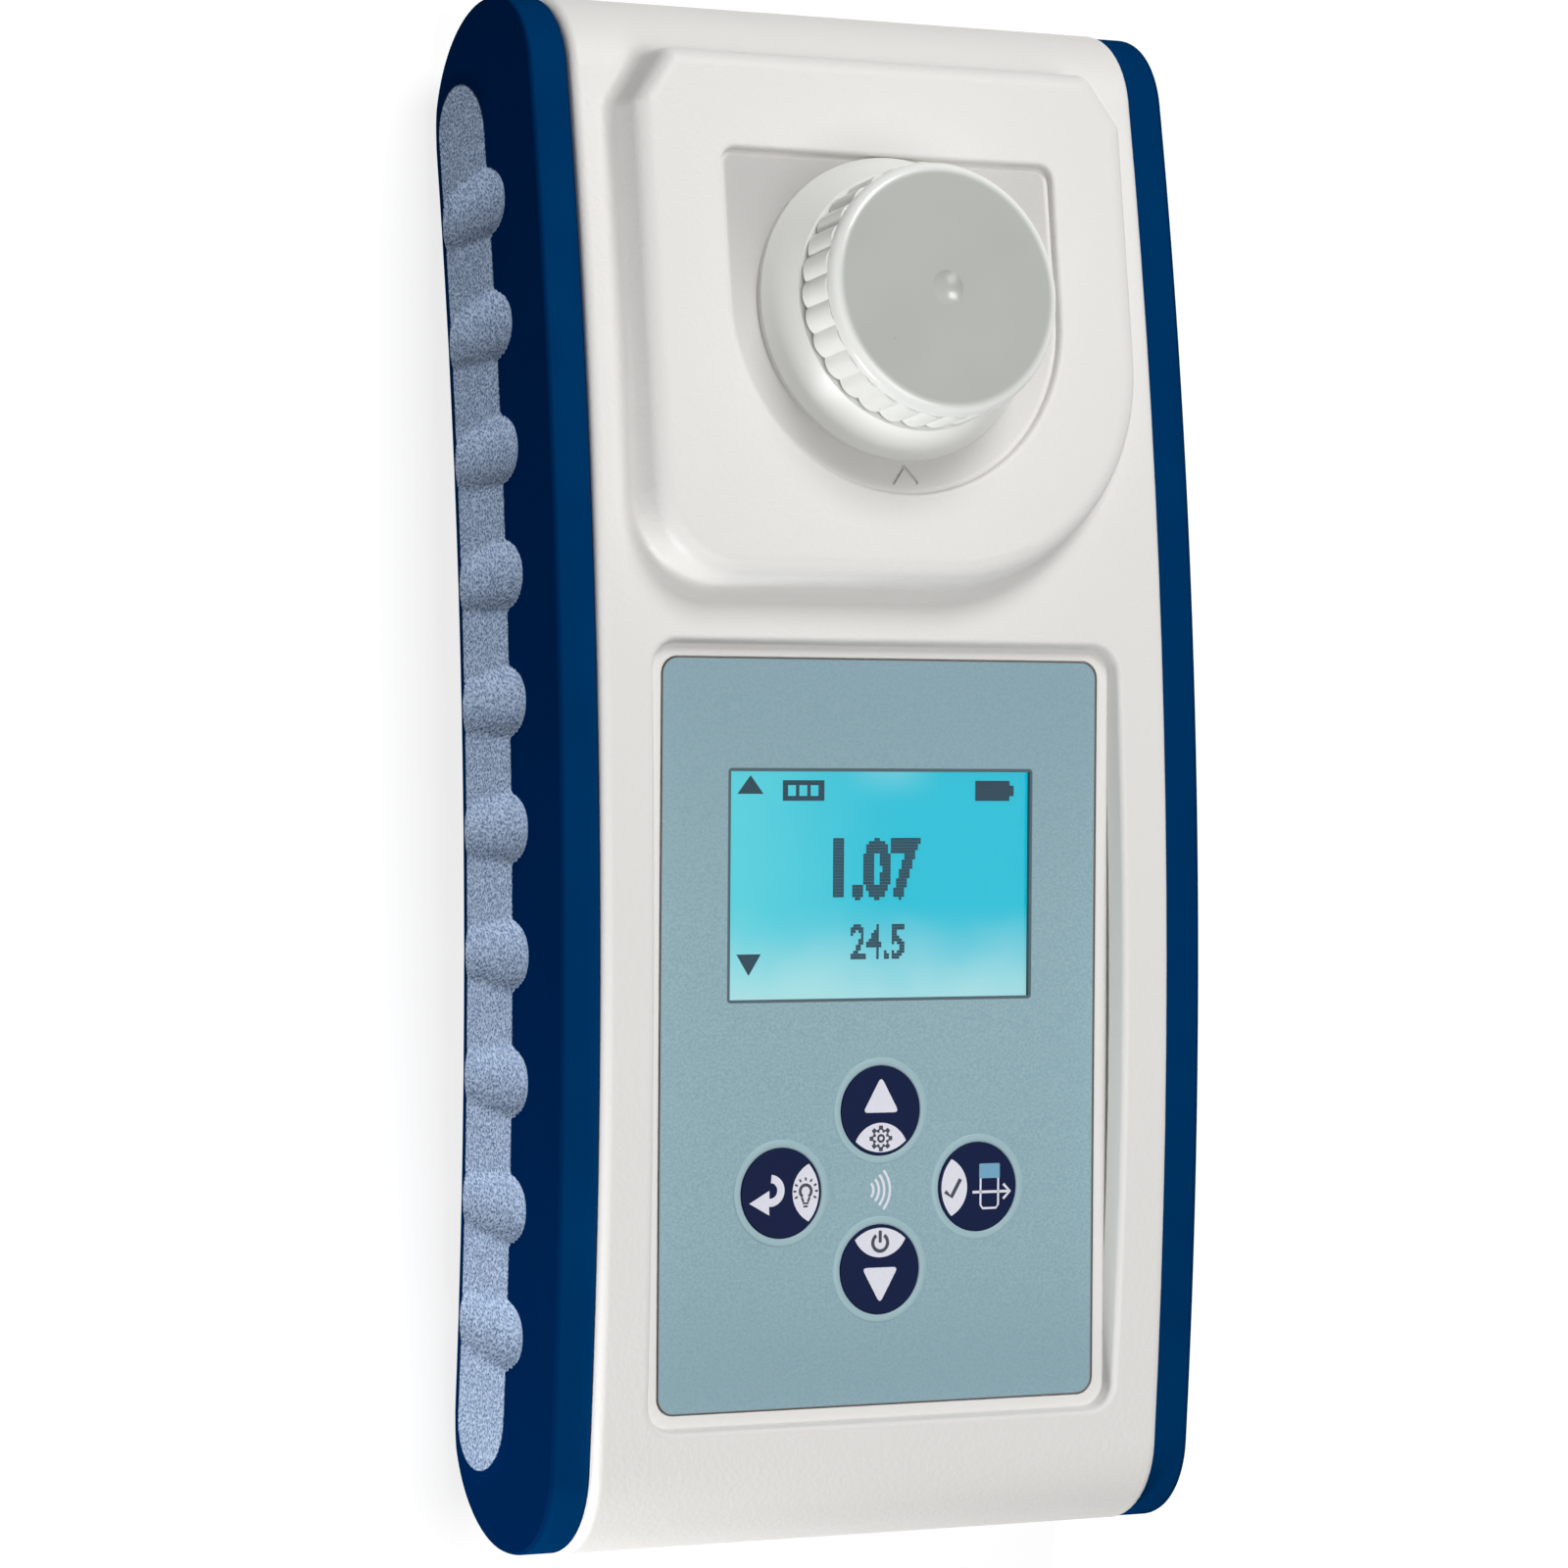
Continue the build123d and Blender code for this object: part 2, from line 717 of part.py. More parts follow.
# Chamber block: a blind well for the vial, a flange, and two wings with the light path
block_bottom = -vial_depth - seat_gap - block_floor
with BuildPart() as chamber_block:
    with BuildSketch(Plane.XY.offset(block_bottom)):
        Circle(bore_radius + block_wall)
    extrude(amount=roof_bottom - block_bottom)
    with BuildSketch(Plane.XY.offset(roof_bottom - flange_thickness)):
        Circle(flange_radius)
    extrude(amount=flange_thickness)
    with BuildSketch(Plane.XY.offset(-optics_depth - wing_height / 2)):
        RectangleRounded(2 * wing_reach, wing_width, wing_width / 10)
    extrude(amount=wing_height)
    with BuildSketch(Plane.XY.offset(-vial_depth - seat_gap)):
        Circle(bore_radius)
    extrude(amount=far, mode=Mode.SUBTRACT)
    with BuildSketch(Plane.YZ):
        with Locations((0, -optics_depth)):
            Circle(port_radius)
    extrude(amount=far, both=True, mode=Mode.SUBTRACT)
    with BuildSketch(Plane.YZ.offset(wing_reach - light_length)):
        with Locations((0, -optics_depth)):
            Circle(light_radius + part_gap / 2)
    extrude(amount=light_length, mode=Mode.SUBTRACT)
    with BuildSketch(Plane.YZ.offset(-wing_reach)):
        with Locations((0, -optics_depth)):
            Circle(detector_radius + part_gap / 2)
    extrude(amount=detector_thickness, mode=Mode.SUBTRACT)
    with BuildSketch(Plane.YZ.offset(-wing_reach + detector_thickness)):
        with Locations((0, -optics_depth)):
            Circle(filter_radius + part_gap / 2)
    extrude(amount=filter_thickness, mode=Mode.SUBTRACT)
    with BuildSketch(Plane.XY.offset(roof_bottom)):
        with Locations(*chamber_screw_points):
            Circle(small_screw[0] + hole_clearance)
    extrude(amount=-flange_thickness, mode=Mode.SUBTRACT)

with BuildPart() as chamber_screws:
    chamber_seats = places_on(
        Plane.XY, [(x, y, roof_bottom - flange_thickness) for x, y in chamber_screw_points]
    )
    screws(flipped(chamber_seats), small_screw, flange_thickness, chamber_screw_bite)

# Optics: light source on one wing, filter and detector on the other
with BuildPart() as light_source:
    with BuildSketch(Plane.YZ.offset(wing_reach - light_length)):
        with Locations((0, -optics_depth)):
            Circle(light_radius)
    extrude(amount=light_length)
    with Locations((wing_reach - light_length, 0, -optics_depth)):
        Sphere(port_radius - part_gap / 2)

with BuildPart() as filter_disc:
    with BuildSketch(Plane.YZ.offset(-wing_reach + detector_thickness)):
        with Locations((0, -optics_depth)):
            Circle(filter_radius)
    extrude(amount=filter_thickness)

with BuildPart() as detector:
    with BuildSketch(Plane.YZ.offset(-wing_reach)):
        with Locations((0, -optics_depth)):
            Circle(detector_radius)
    extrude(amount=detector_thickness)

# Sample vial: thick-walled glass with a rounded foot, a shoulder and a narrower neck
with BuildPart() as vial_glass:
    with BuildSketch(Plane.XZ):
        with BuildLine():
            Polyline(
                (0, -vial_depth),
                (vial_radius, -vial_depth),
                (vial_radius, shoulder_height),
                (neck_radius, shoulder_height),
                (neck_radius, neck_top),
                (neck_radius - vial_wall, neck_top),
                (neck_radius - vial_wall, shoulder_height - vial_wall),
                (vial_radius - vial_wall, shoulder_height - 2 * vial_wall),
                (vial_radius - vial_wall, -vial_depth + vial_floor),
                (0, -vial_depth + vial_floor),
                close=True,
            )
        make_face()
        foot = vertices().filter_by(lambda v: v.Y < shoulder_height - vial_depth and v.X > neck_radius)
        fillet(foot, vial_wall * 0.8)
    revolve(axis=Axis.Z)

# Seal ring on the neck: keeps stray light out of the well
with BuildPart() as light_seal:
    with BuildSketch(Plane.XY.offset(shoulder_height + seat_gap / 2)):
        Circle(vial_radius)
        Circle(neck_radius + part_gap / 2, mode=Mode.SUBTRACT)
    extrude(amount=seal_ring_height)

# Cap: ribbed skirt, rounded shoulder, flat top with a small gate dimple
cap_bottom = collar_height + seat_gap
cap_bore = neck_radius + cap_thread_clearance
cap_ceiling = cap_top - cap_roof
with BuildPart() as vial_cap:
    with BuildSketch(Plane.XZ):
        with BuildLine():
            Polyline(
                (cap_bore, cap_bottom),
                (cap_root_radius, cap_bottom),
                (cap_root_radius, cap_bottom + rib_height),
                (cap_shoulder_radius, cap_bottom + rib_height),
                (cap_shoulder_radius, cap_top),
                (0, cap_top),
                (0, cap_ceiling),
                (cap_bore, cap_ceiling),
                close=True,
            )
        make_face()
    revolve(axis=Axis.Z)
    fillet(edges().filter_by(GeomType.CIRCLE).group_by(Axis.Z)[-1], cap_edge_radius)
    with BuildSketch(Plane.XY.offset(cap_bottom)):
        with PolarLocations(rib_reach - rib_radius, rib_count):
            Circle(rib_radius)
        Circle(cap_bore + part_gap, mode=Mode.SUBTRACT)
    extrude(amount=rib_height)
    dimple_ball = (dimple_radius**2 + dimple_depth**2) / (2 * dimple_depth)
    with Locations((0, 0, cap_top + dimple_ball - dimple_depth)):
        Sphere(dimple_ball, mode=Mode.SUBTRACT)

with BuildPart() as cap_liner:
    with BuildSketch(Plane.XY.offset(neck_top + seat_gap / 2)):
        Circle(cap_bore - seat_gap)
    extrude(amount=liner_thickness)

# Battery cells side by side, turned end for end, with plates and springs at the ends of the bay
cell_ends = [1 if i % 2 else -1 for i in range(cell_count)]
cell_columns = [(i - (cell_count - 1) / 2) * cell_pitch for i in range(cell_count)]
full_cell = cell_length + nub_length
plate_gap = seat_gap / 2
with BuildPart() as battery_cells:
    for x, end in zip(cell_columns, cell_ends):
        contact_face = bay_y + end * (bay_length / 2 - contact_thickness - plate_gap)
        tip = panel_plane.from_local_coords((x, contact_face, -cell_axis_drop))
        outward = panel_plane.y_dir * end
        with Locations(Plane(tip, x_dir=(1, 0, 0), z_dir=outward)):
            Cylinder(nub_radius, full_cell, align=(Align.CENTER, Align.CENTER, Align.MAX))
        shoulder = tip - outward * nub_length
        with Locations(Plane(shoulder, x_dir=(1, 0, 0), z_dir=outward)):
            Cylinder(cell_radius, cell_length, align=(Align.CENTER, Align.CENTER, Align.MAX))

with BuildPart() as contact_plates:
    plate_points = [
        (x, bay_y + end * (bay_length - contact_thickness) / 2, -cell_axis_drop)
        for x in cell_columns
        for end in (-1, 1)
    ]
    with Locations(*places_on(panel_plane, plate_points)):
        Box(2 * cell_radius - 1, contact_thickness, 2 * cell_radius - 1)

with BuildPart() as contact_springs:
    for x, end in zip(cell_columns, cell_ends):
        root_y = bay_y - end * (bay_length / 2 - contact_thickness)
        root = panel_plane.from_local_coords((x, root_y, -cell_axis_drop))
        with Locations(Plane(root, x_dir=(1, 0, 0), z_dir=panel_plane.y_dir * end)):
            Cone(
                spring_radius,
                spring_radius / 2,
                spring_length - 2 * plate_gap,
                align=(Align.CENTER, Align.CENTER, Align.MIN),
            )

# Battery lid: follows the arch of the back, with its seal and captive screws
with BuildPart() as battery_lid:
    with BuildSketch(Plane.YZ):
        add(arc_strip(lid_low, lid_high, back_radius, lid_top_radius))
    extrude(amount=lid_width / 2, both=True)
    fillet(edges().filter_by(Axis.Z), lid_corner)
    with Locations(*lid_screw_seats):
        Cylinder(small_screw[0] + hole_clearance, far / 10, mode=Mode.SUBTRACT)
    with Locations(*flipped(lid_screw_seats)):
        Cylinder(
            small_screw[1] + hole_clearance,
            far / 10,
            align=(Align.CENTER, Align.CENTER, Align.MIN),
            mode=Mode.SUBTRACT,
        )

with BuildPart() as lid_seal:
    with BuildSketch(Plane.YZ):
        add(
            arc_strip(
                bay_mid - bay_length / 2 - lid_seal_width + part_gap,
                bay_mid + bay_length / 2 + lid_seal_width - part_gap,
                lid_top_radius,
                lid_top_radius + lid_seal_thickness,
            )
        )
    extrude(amount=bay_width / 2 + lid_seal_width - part_gap, both=True)
    with BuildSketch(panel_plane.offset(-bay_wall_drop)):
        with Locations((0, bay_y)):
            Rectangle(bay_width, bay_length)
    extrude(amount=-far, mode=Mode.SUBTRACT)

with BuildPart() as lid_screws:
    screws(flipped(lid_screw_seats), small_screw, lid_thickness - small_screw[2], lid_screw_bite)

# Screws that hold the two housing halves together
with BuildPart() as housing_screws:
    housing_seats = []
    for x, y in housing_screw_points:
        housing_seats.append(Plane((x, y, arc_height(y, back_radius) + housing_screw_sink)))
    clamp = parting_height - housing_seats[0].origin.Z
    screws(flipped(housing_seats), housing_screw, clamp, housing_screw_bite)

# Rubber feet: they level the arched back on the table
with BuildPart() as feet:
    with BuildSketch(Plane.XY):
        with GridLocations(2 * foot_x, 2 * foot_y, 2, 2):
            SlotOverall(foot_length, foot_width)
    extrude(amount=arc_height(foot_y, back_radius) + foot_pocket)

# The pieces of the well are made upright about the origin and stand on the well's plane
well_pieces = {
    "chamber_collar": chamber_collar,
    "chamber_block": chamber_block,
    "chamber_screws": chamber_screws,
    "light_source": light_source,
    "filter_disc": filter_disc,
    "detector": detector,
    "vial_glass": vial_glass,
    "light_seal": light_seal,
    "vial_cap": vial_cap,
    "cap_liner": cap_liner,
}
pieces = {
    "front_shell": front_shell.part,
    "rear_shell": rear_shell.part,
    "housing_seal": housing_seal.part,
    "keypad_foil": keypad_foil.part,
    "key_switches": key_switches.part,
    "display_window": display_window.part,
    "display_glass": display_glass.part,
    "backlight": backlight.part,
    "display_frame": display_frame.part,
    "circuit_board": circuit_board.part,
    "board_screws": board_screws.part,
    "data_module": data_module.part,
    "battery_cells": battery_cells.part,
    "contact_plates": contact_plates.part,
    "contact_springs": contact_springs.part,
    "battery_lid": battery_lid.part,
    "lid_seal": lid_seal.part,
    "lid_screws": lid_screws.part,
    "housing_screws": housing_screws.part,
    "feet": feet.part,
    **grips,
    **keys,
}
for name, builder in well_pieces.items():
    pieces[name] = builder.part.moved(well_plane.location)

os.makedirs("parts", exist_ok=True)
for name, piece in pieces.items():
    piece.label = name
    export_step(piece, "parts/" + name + ".step")
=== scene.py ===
from math import atan2, cos, pi, radians, sin, sqrt, tan

import bmesh
import bpy
import numpy as np
from mathutils import Matrix, Vector


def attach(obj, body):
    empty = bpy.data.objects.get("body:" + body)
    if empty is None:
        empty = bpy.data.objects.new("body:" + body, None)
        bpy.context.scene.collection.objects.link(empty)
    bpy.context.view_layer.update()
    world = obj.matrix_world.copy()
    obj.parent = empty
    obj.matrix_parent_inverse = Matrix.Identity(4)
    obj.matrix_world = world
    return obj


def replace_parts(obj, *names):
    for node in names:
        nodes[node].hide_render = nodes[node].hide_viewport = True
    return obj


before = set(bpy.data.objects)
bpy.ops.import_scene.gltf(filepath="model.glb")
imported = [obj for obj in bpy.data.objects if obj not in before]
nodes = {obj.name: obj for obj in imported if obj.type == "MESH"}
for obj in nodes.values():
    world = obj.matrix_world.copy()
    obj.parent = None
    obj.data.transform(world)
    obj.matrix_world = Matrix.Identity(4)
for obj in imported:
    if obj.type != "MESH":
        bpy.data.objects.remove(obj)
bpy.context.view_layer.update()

# The body lies on its back: X across, Y towards the well, Z out of the front. Lengths are in millimetres
# here, and turned to metres when a mesh is made.
MM = 0.001
CREST, ARCH, DEPTH = 29.0, 531.0, 24.0
ARCH_CENTRE = CREST - ARCH
HALF_LENGTH, HALF_WIDTH, WHITE_HALF = 79.2, 37.5, 32.85
FRONT_ROUND, BACK_ROUND = 9.5, 13.5
PANEL_STATION, PANEL_LIFT = -27.2, -1.87
PANEL_W, PANEL_H, PANEL_CORNER = 50.7, 76.4, 1.8
WINDOW_W, WINDOW_H, WINDOW_Y, WINDOW_RIM = 34.9, 23.2, 15.1, 0.3
WELL_STATION, WELL_LIFT = 46.25, 5.4
DISH_RADIUS, DISH_TOP, DISH_CORNER = 19.2, 15.8, 1.5
CAP_FLAT = 11.6

# Side of a cheek, measured down from the arch's front line: the raised strip and the finger scoops
STRIP_LOW, STRIP_HALF, STRIP_REACH = 16.35, 5.45, 65.9
STRIP_RAISE, STRIP_SLOPE = 0.34, 2.4
LOW_RIM, LOW_RIM_FALL = 2.4, 0.3
SCOOPS, SCOOP_FIRST, SCOOP_PITCH = 10, -58.35, 13.1
SCOOP_ROUND, SCOOP_DEPTH, SCOOP_TOP, SCOOP_RUN = 6.1, 1.25, 11.0, 0.75
SCOOP_BLEND, SCOOP_BRIM, NO_SCOOP = 0.07, 0.2, HALF_WIDTH + 5.0
CHEEK_EDGE, CHEEK_SEAM, SEAM_WALL = 0.8, 0.35, 0.6
CHEEK_SPACING, CHEEK_RINGS, ARCH_STEPS, ROUND_STEPS = 0.36, 52, 400, 60
# The coarse texture fades over these widths, and starts this far below the cheek's rounded edge
STRIP_FADE, BRIM_FADE, TEXTURE_START = 0.5, 0.12, 0.7

# Keys: a cross on the panel, and the films printed on them
CROSS_Y, KEY_ACROSS, KEY_ALONG = -16.2, 11.45, 8.15
KEY_PROUD = 0.15
FILM, FILM_LIFT, FILM_STEP, TOP_FILM_LIFT = 0.012, 0.004, 0.014, 0.02
KEYS = {
    "key_up": (0.0, CROSS_Y + KEY_ALONG),
    "key_back": (-KEY_ACROSS, CROSS_Y),
    "key_test": (KEY_ACROSS, CROSS_Y),
    "key_down": (0.0, CROSS_Y - KEY_ALONG),
}


def seat(station, lift):
    """Frame square to the arch at a place along its crest: the origin and the two directions."""
    a = station / ARCH
    origin = Vector((0, (ARCH + lift) * sin(a), ARCH_CENTRE + (ARCH + lift) * cos(a)))
    return origin, Vector((0, cos(a), -sin(a))), Vector((0, sin(a), cos(a)))


PANEL = seat(PANEL_STATION, PANEL_LIFT)
WELL = seat(WELL_STATION, WELL_LIFT)


def on_panel(x, y, z=0.0):
    """A point of the model, in metres, from a place on the panel and a height above it."""
    origin, along, out = PANEL
    return (origin + Vector((x, 0, 0)) + along * y + out * z) * MM


def srgb(*screen):
    """A colour as it looks on a screen, 0 to 255, for a shader."""
    parts = [value / 255 for value in screen]
    return tuple(v / 12.92 if v <= 0.04045 else ((v + 0.055) / 1.055) ** 2.4 for v in parts) + (1.0,)


def scaled(tone, factor):
    """A tone made darker or lighter, and no lighter than white."""
    return tuple(min(1.0, part * factor) for part in tone[:3]) + (1.0,)


class Level:
    """An output of a node; sums written with it become maths nodes of its tree."""

    def __init__(self, tree, socket):
        self.tree, self.socket = tree, socket

    def __add__(self, other):
        return self.tree.maths("ADD", self, other)

    def __sub__(self, other):
        return self.tree.maths("SUBTRACT", self, other)

    def __rsub__(self, other):
        return self.tree.maths("SUBTRACT", other, self)

    def __mul__(self, other):
        return self.tree.maths("MULTIPLY", self, other)

    def __pow__(self, other):
        return self.tree.maths("POWER", self, other)

    def __abs__(self):
        return self.tree.maths("ABSOLUTE", self)

    def __neg__(self):
        return self.tree.maths("MULTIPLY", self, -1.0)

    __radd__, __rmul__ = __add__, __mul__


class Tree:
    """A node tree in the making, of a material, of the world or of Geometry Nodes."""

    def __init__(self, tree):
        self.tree = tree

    def node(self, kind, settings=None, inputs=None, output=0):
        made = self.tree.nodes.new(kind)
        for key, value in (settings or {}).items():
            setattr(made, key, value)
        for key, value in (inputs or {}).items():
            self.feed(made.inputs[key], value)
        return Level(self, made.outputs[output])

    def feed(self, socket, value):
        """Sets a socket to a constant, or links a level or a list of levels to it."""
        for one in value if isinstance(value, list) else [value]:
            if isinstance(one, Level):
                self.tree.links.new(one.socket, socket)
            else:
                socket.default_value = one

    def maths(self, operation, *values):
        return self.node("ShaderNodeMath", {"operation": operation}, dict(enumerate(values)))

    def vector(self, operation, first, second, output=0):
        return self.node("ShaderNodeVectorMath", {"operation": operation}, {0: first, 1: second}, output)

    def seen(self):
        """1 for the camera's rays, also after a mirror reflection or a way through glass; 0 for others."""
        rays = [self.node("ShaderNodeLightPath", output=kind)
                for kind in ("Is Camera Ray", "Is Glossy Ray", "Is Transmission Ray")]
        return self.maths("MAXIMUM", rays[0], self.maths("MAXIMUM", rays[1], rays[2]))


class Finish(Tree):
    """One material: a Principled shader and the nodes that vary it. Places are read in millimetres."""

    def __init__(self, name, **fixed):
        self.material = bpy.data.materials.new(name)
        self.material.use_nodes = True
        super().__init__(self.material.node_tree)
        self.tree.nodes.clear()
        self.shader = self.tree.nodes.new("ShaderNodeBsdfPrincipled")
        end = self.tree.nodes.new("ShaderNodeOutputMaterial")
        self.tree.links.new(self.shader.outputs[0], end.inputs[0])
        for socket, value in fixed.items():
            self.shader.inputs[socket.replace("_", " ")].default_value = value
        self.place = self.node("ShaderNodeVectorMath", {"operation": "SCALE"}, {
            "Vector": self.node("ShaderNodeTexCoord", output="Object"), "Scale": 1 / MM})

    def step(self, value, low, high):
        """0 below low and 1 above high, smooth between."""
        return self.node("ShaderNodeMapRange", {"interpolation_type": "SMOOTHSTEP"},
                         {"Value": value, "From Min": low, "From Max": high})

    def axis(self, letter):
        return self.node("ShaderNodeSeparateXYZ", None, {0: self.place}, letter)

    def noise(self, size, detail=2.0, roughness=0.5):
        """Cloudy noise with patches about as large as size, in millimetres."""
        return self.node("ShaderNodeTexNoise", None, {
            "Vector": self.place, "Scale": 1.0 / size, "Detail": detail, "Roughness": roughness})

    def cells(self, size, smooth=0.6):
        """Distance from the middles of cells about as large as size, in millimetres."""
        return self.node("ShaderNodeTexVoronoi", {"feature": "SMOOTH_F1"}, {
            "Vector": self.place, "Scale": 1.0 / size, "Smoothness": smooth}, "Distance")

    def mix(self, factor, low, high):
        """A colour between two others."""
        return self.node("ShaderNodeMix", {"data_type": "RGBA"}, {0: factor, 6: low, 7: high}, 2)

    def colour(self, value):
        self.feed(self.shader.inputs["Base Color"], value)

    def rough(self, value):
        self.feed(self.shader.inputs["Roughness"], value)

    def glow(self, value):
        self.feed(self.shader.inputs["Emission Color"], value)

    def bevel(self, radius):
        """The surface's direction with its sharp edges rounded, radius in millimetres."""
        return self.node("ShaderNodeBevel", {"samples": 4}, {"Radius": radius * MM})

    def relief(self, height, depth, softened=0.0):
        """Bump from a height between 0 and 1, depth in millimetres; softened rounds the edges."""
        inputs = {"Height": height, "Distance": depth * MM, "Strength": 1.0}
        if softened:
            inputs["Normal"] = self.bevel(softened)
        self.feed(self.shader.inputs["Normal"], self.node("ShaderNodeBump", None, inputs))

    def edges(self, radius):
        """How close a place is to a sharp edge, from 0 to about 1."""
        facing = self.node("ShaderNodeNewGeometry", output="Normal")
        return self.step(1.0 - self.vector("DOT_PRODUCT", self.bevel(radius), facing, "Value"), 0.01, 0.25)

    def box_distance(self, x, y, half_w, half_h, corner):
        """Distance of a place from a rounded rectangle's edge, in millimetres; negative inside."""
        past_x = self.maths("MAXIMUM", abs(x) - (half_w - corner), 0.0)
        past_y = self.maths("MAXIMUM", abs(y) - (half_h - corner), 0.0)
        return (past_x * past_x + past_y * past_y) ** 0.5 - corner


def dish_shade(f):
    """How much painted shade darkens the D-shaped dish round the well: most at its upper left, nothing
    outside it.
    """
    origin, along = WELL[:2]
    x = f.axis("X")
    y = f.vector("DOT_PRODUCT", f.vector("SUBTRACT", f.place, origin), along, "Value")
    middle, half_height = (DISH_TOP - DISH_RADIUS) / 2, (DISH_TOP + DISH_RADIUS) / 2
    box = f.box_distance(x, y - middle, DISH_RADIUS, half_height, DISH_CORNER)
    bowl = (x * x + y * y) ** 0.5 - DISH_RADIUS
    below = f.step(-y, -0.2, 0.2)
    inside = f.step(-(below * bowl + (1.0 - below) * box), 0.1, 0.8)
    return inside * (0.28 + f.step(y, -14.0, 12.0) * 0.42) * (1.0 - f.step(x, -12.0, 14.0) * 0.25)


def plastic(name, tone, rough, grain_size, grain_depth, edge_wear_and_highlight_tone, spread=0.03, softened=0.0, painted_shade=None):
    """Moulded plastic: eroded grain, slow clouds of tone and gloss, edges lighter and glossier from wear
    and painted highlight, and painted shade where a mask for it is given.
    """
    f = Finish(name)
    edge_wear_and_highlight = f.edges(0.5)
    body_tone = f.mix(f.noise(17.0, 3.0), scaled(tone, 1 - spread), scaled(tone, 1 + spread))
    # Painted shade: where a mask for it is given, it darkens the tone towards 0.45 of it
    if painted_shade:
        body_tone = f.mix(painted_shade(f), body_tone, scaled(tone, 0.45))
    # Edges lighter in the edge tone: part wear from handling, part painted highlight
    f.colour(f.mix(edge_wear_and_highlight * 0.5, body_tone, edge_wear_and_highlight_tone))
    pits = f.cells(grain_size) * 0.7 + f.noise(grain_size * 0.6, 3.0, 0.6) * 0.5
    f.rough(rough + (f.noise(4.0) - 0.5) * 0.12 + pits * 0.06 - edge_wear_and_highlight * 0.08)
    f.relief(pits, grain_depth, softened)
    return f.material


def cap_finish():
    """Glossy cap: a flat top, grey in its own tone and in painted shade, inside a rim and ribs made pale by
    painted light.
    """
    f = Finish("cap_white", Coat_Weight=0.15)
    origin, out = WELL[0], WELL[2]
    from_well = f.vector("SUBTRACT", f.place, origin)
    height = f.vector("DOT_PRODUCT", from_well, out, "Value")
    length = f.node("ShaderNodeVectorMath", {"operation": "LENGTH"}, {0: from_well}, "Value")
    off_axis = (length * length - height * height) ** 0.5
    # Painted light and shade: the rim and ribs are paler and the flat top greyer
    rim = f.step(off_axis, CAP_FLAT, CAP_FLAT + 1.0)
    clouds = f.noise(9.0)
    top = f.mix(clouds, srgb(170, 173, 167), srgb(178, 181, 175))
    f.colour(f.mix(rim, top, srgb(234, 235, 231)))
    f.rough(0.26 + clouds * 0.05)
    f.relief(f.noise(1.1, 3.0), 0.004)
    return f.material


def metal(name, tone, rough, mark_size):
    """Metal with fine turning marks and a little tarnish."""
    f = Finish(name, Metallic=1.0)
    tarnish = f.noise(2.5, 4.0)
    f.colour(f.mix(tarnish, scaled(tone, 0.72), tone))
    f.rough(rough + tarnish * 0.18)
    f.relief(f.noise(mark_size), 0.01)
    return f.material


def rubber(name, tone):
    """Soft rubber or foam with dust in its pores."""
    f = Finish(name)
    dust = f.noise(1.2, 4.0)
    f.colour(f.mix(f.step(dust, 0.45, 0.8) * 0.35, tone, srgb(118, 120, 122)))
    f.rough(0.62 + dust * 0.2)
    f.relief(f.noise(0.35, 3.0), 0.05)
    return f.material


def grip_finish():
    """Navy cheek: smooth moulded plastic with coarse eroded texture where the mesh says so, painted shade
    on its flanks, painted sheen in the strip's light tone and lighter edges of wear and painted highlight.
    """
    f = Finish("navy_cheek", Specular_IOR_Level=0.0)
    said = f.node("ShaderNodeAttribute", {"attribute_name": "coarse"}, output="Fac")
    strip = f.step(said + (f.noise(0.3, 3.0, 0.7) - 0.5) * 0.7, 0.3, 0.7)
    sand = f.noise(0.28, 3.0, 0.62)
    speck = f.cells(0.34, 0.3)
    smooth = f.mix(f.noise(14.0), srgb(0, 46, 92), srgb(0, 56, 104))
    # Painted shade: the cheek's flanks are a darker navy, for the shade they have under the front lights
    painted_flank_shade = f.step(abs(f.axis("X")), HALF_WIDTH - 1.0, HALF_WIDTH - 0.3)
    smooth = f.mix(painted_flank_shade * 0.8, smooth, srgb(0, 22, 62))
    # The strip's grain is two-tone; its light tone is partly the grain and partly painted sheen, as the
    # navy has no specular
    coarse = f.mix(f.step(sand * 0.75 + speck * 0.5, 0.3, 0.85), srgb(62, 90, 126), srgb(172, 188, 212))
    # Edges lighter cyan-blue: part wear, part painted highlight
    edge_wear_and_highlight = f.edges(0.35)
    f.colour(f.mix(edge_wear_and_highlight * (0.4 - strip * 0.1), f.mix(strip, smooth, coarse), srgb(60, 120, 170)))
    f.rough(0.42 + strip * 0.3 + f.noise(3.0) * 0.06)
    f.relief(strip * (sand * 0.8 + speck * 0.5) + (1.0 - strip) * f.noise(0.3) * 0.06, 0.14)
    return f.material


def foil_finish():
    """Printed foil: grey-blue with a fine speckle and a thin dark line at its rim."""
    f = Finish("panel_foil", Specular_IOR_Level=0.4)
    x = f.axis("X")
    y = f.axis("Y") - PANEL[0].y
    rim = f.step(f.box_distance(x, y, PANEL_W / 2, PANEL_H / 2, PANEL_CORNER), -0.22, -0.08)
    half_w, half_h = WINDOW_W / 2 + WINDOW_RIM, WINDOW_H / 2 + WINDOW_RIM
    glass = f.step(-f.box_distance(x, y - WINDOW_Y, half_w, half_h, 0.4), -0.06, 0.04)
    speck = f.noise(0.28, 3.0, 0.7)
    tone = f.mix(f.step(speck, 0.3, 0.7), srgb(125, 158, 169), srgb(149, 179, 188))
    tone = f.mix(f.noise(22.0) * 0.35, tone, srgb(144, 175, 185))
    tone = f.mix(f.step(y, 2.0, 40.0) * 0.55, tone, srgb(122, 150, 161))
    tone = f.mix(f.step(-y, 18.0, 38.0) * 0.5, tone, srgb(126, 156, 167))
    tone = f.mix(glass * 0.85, tone, srgb(38, 58, 66))
    f.colour(f.mix(rim, tone, srgb(92, 84, 78)))
    f.rough(0.46 + speck * 0.12)
    f.relief(speck, 0.012, 0.08)
    return f.material


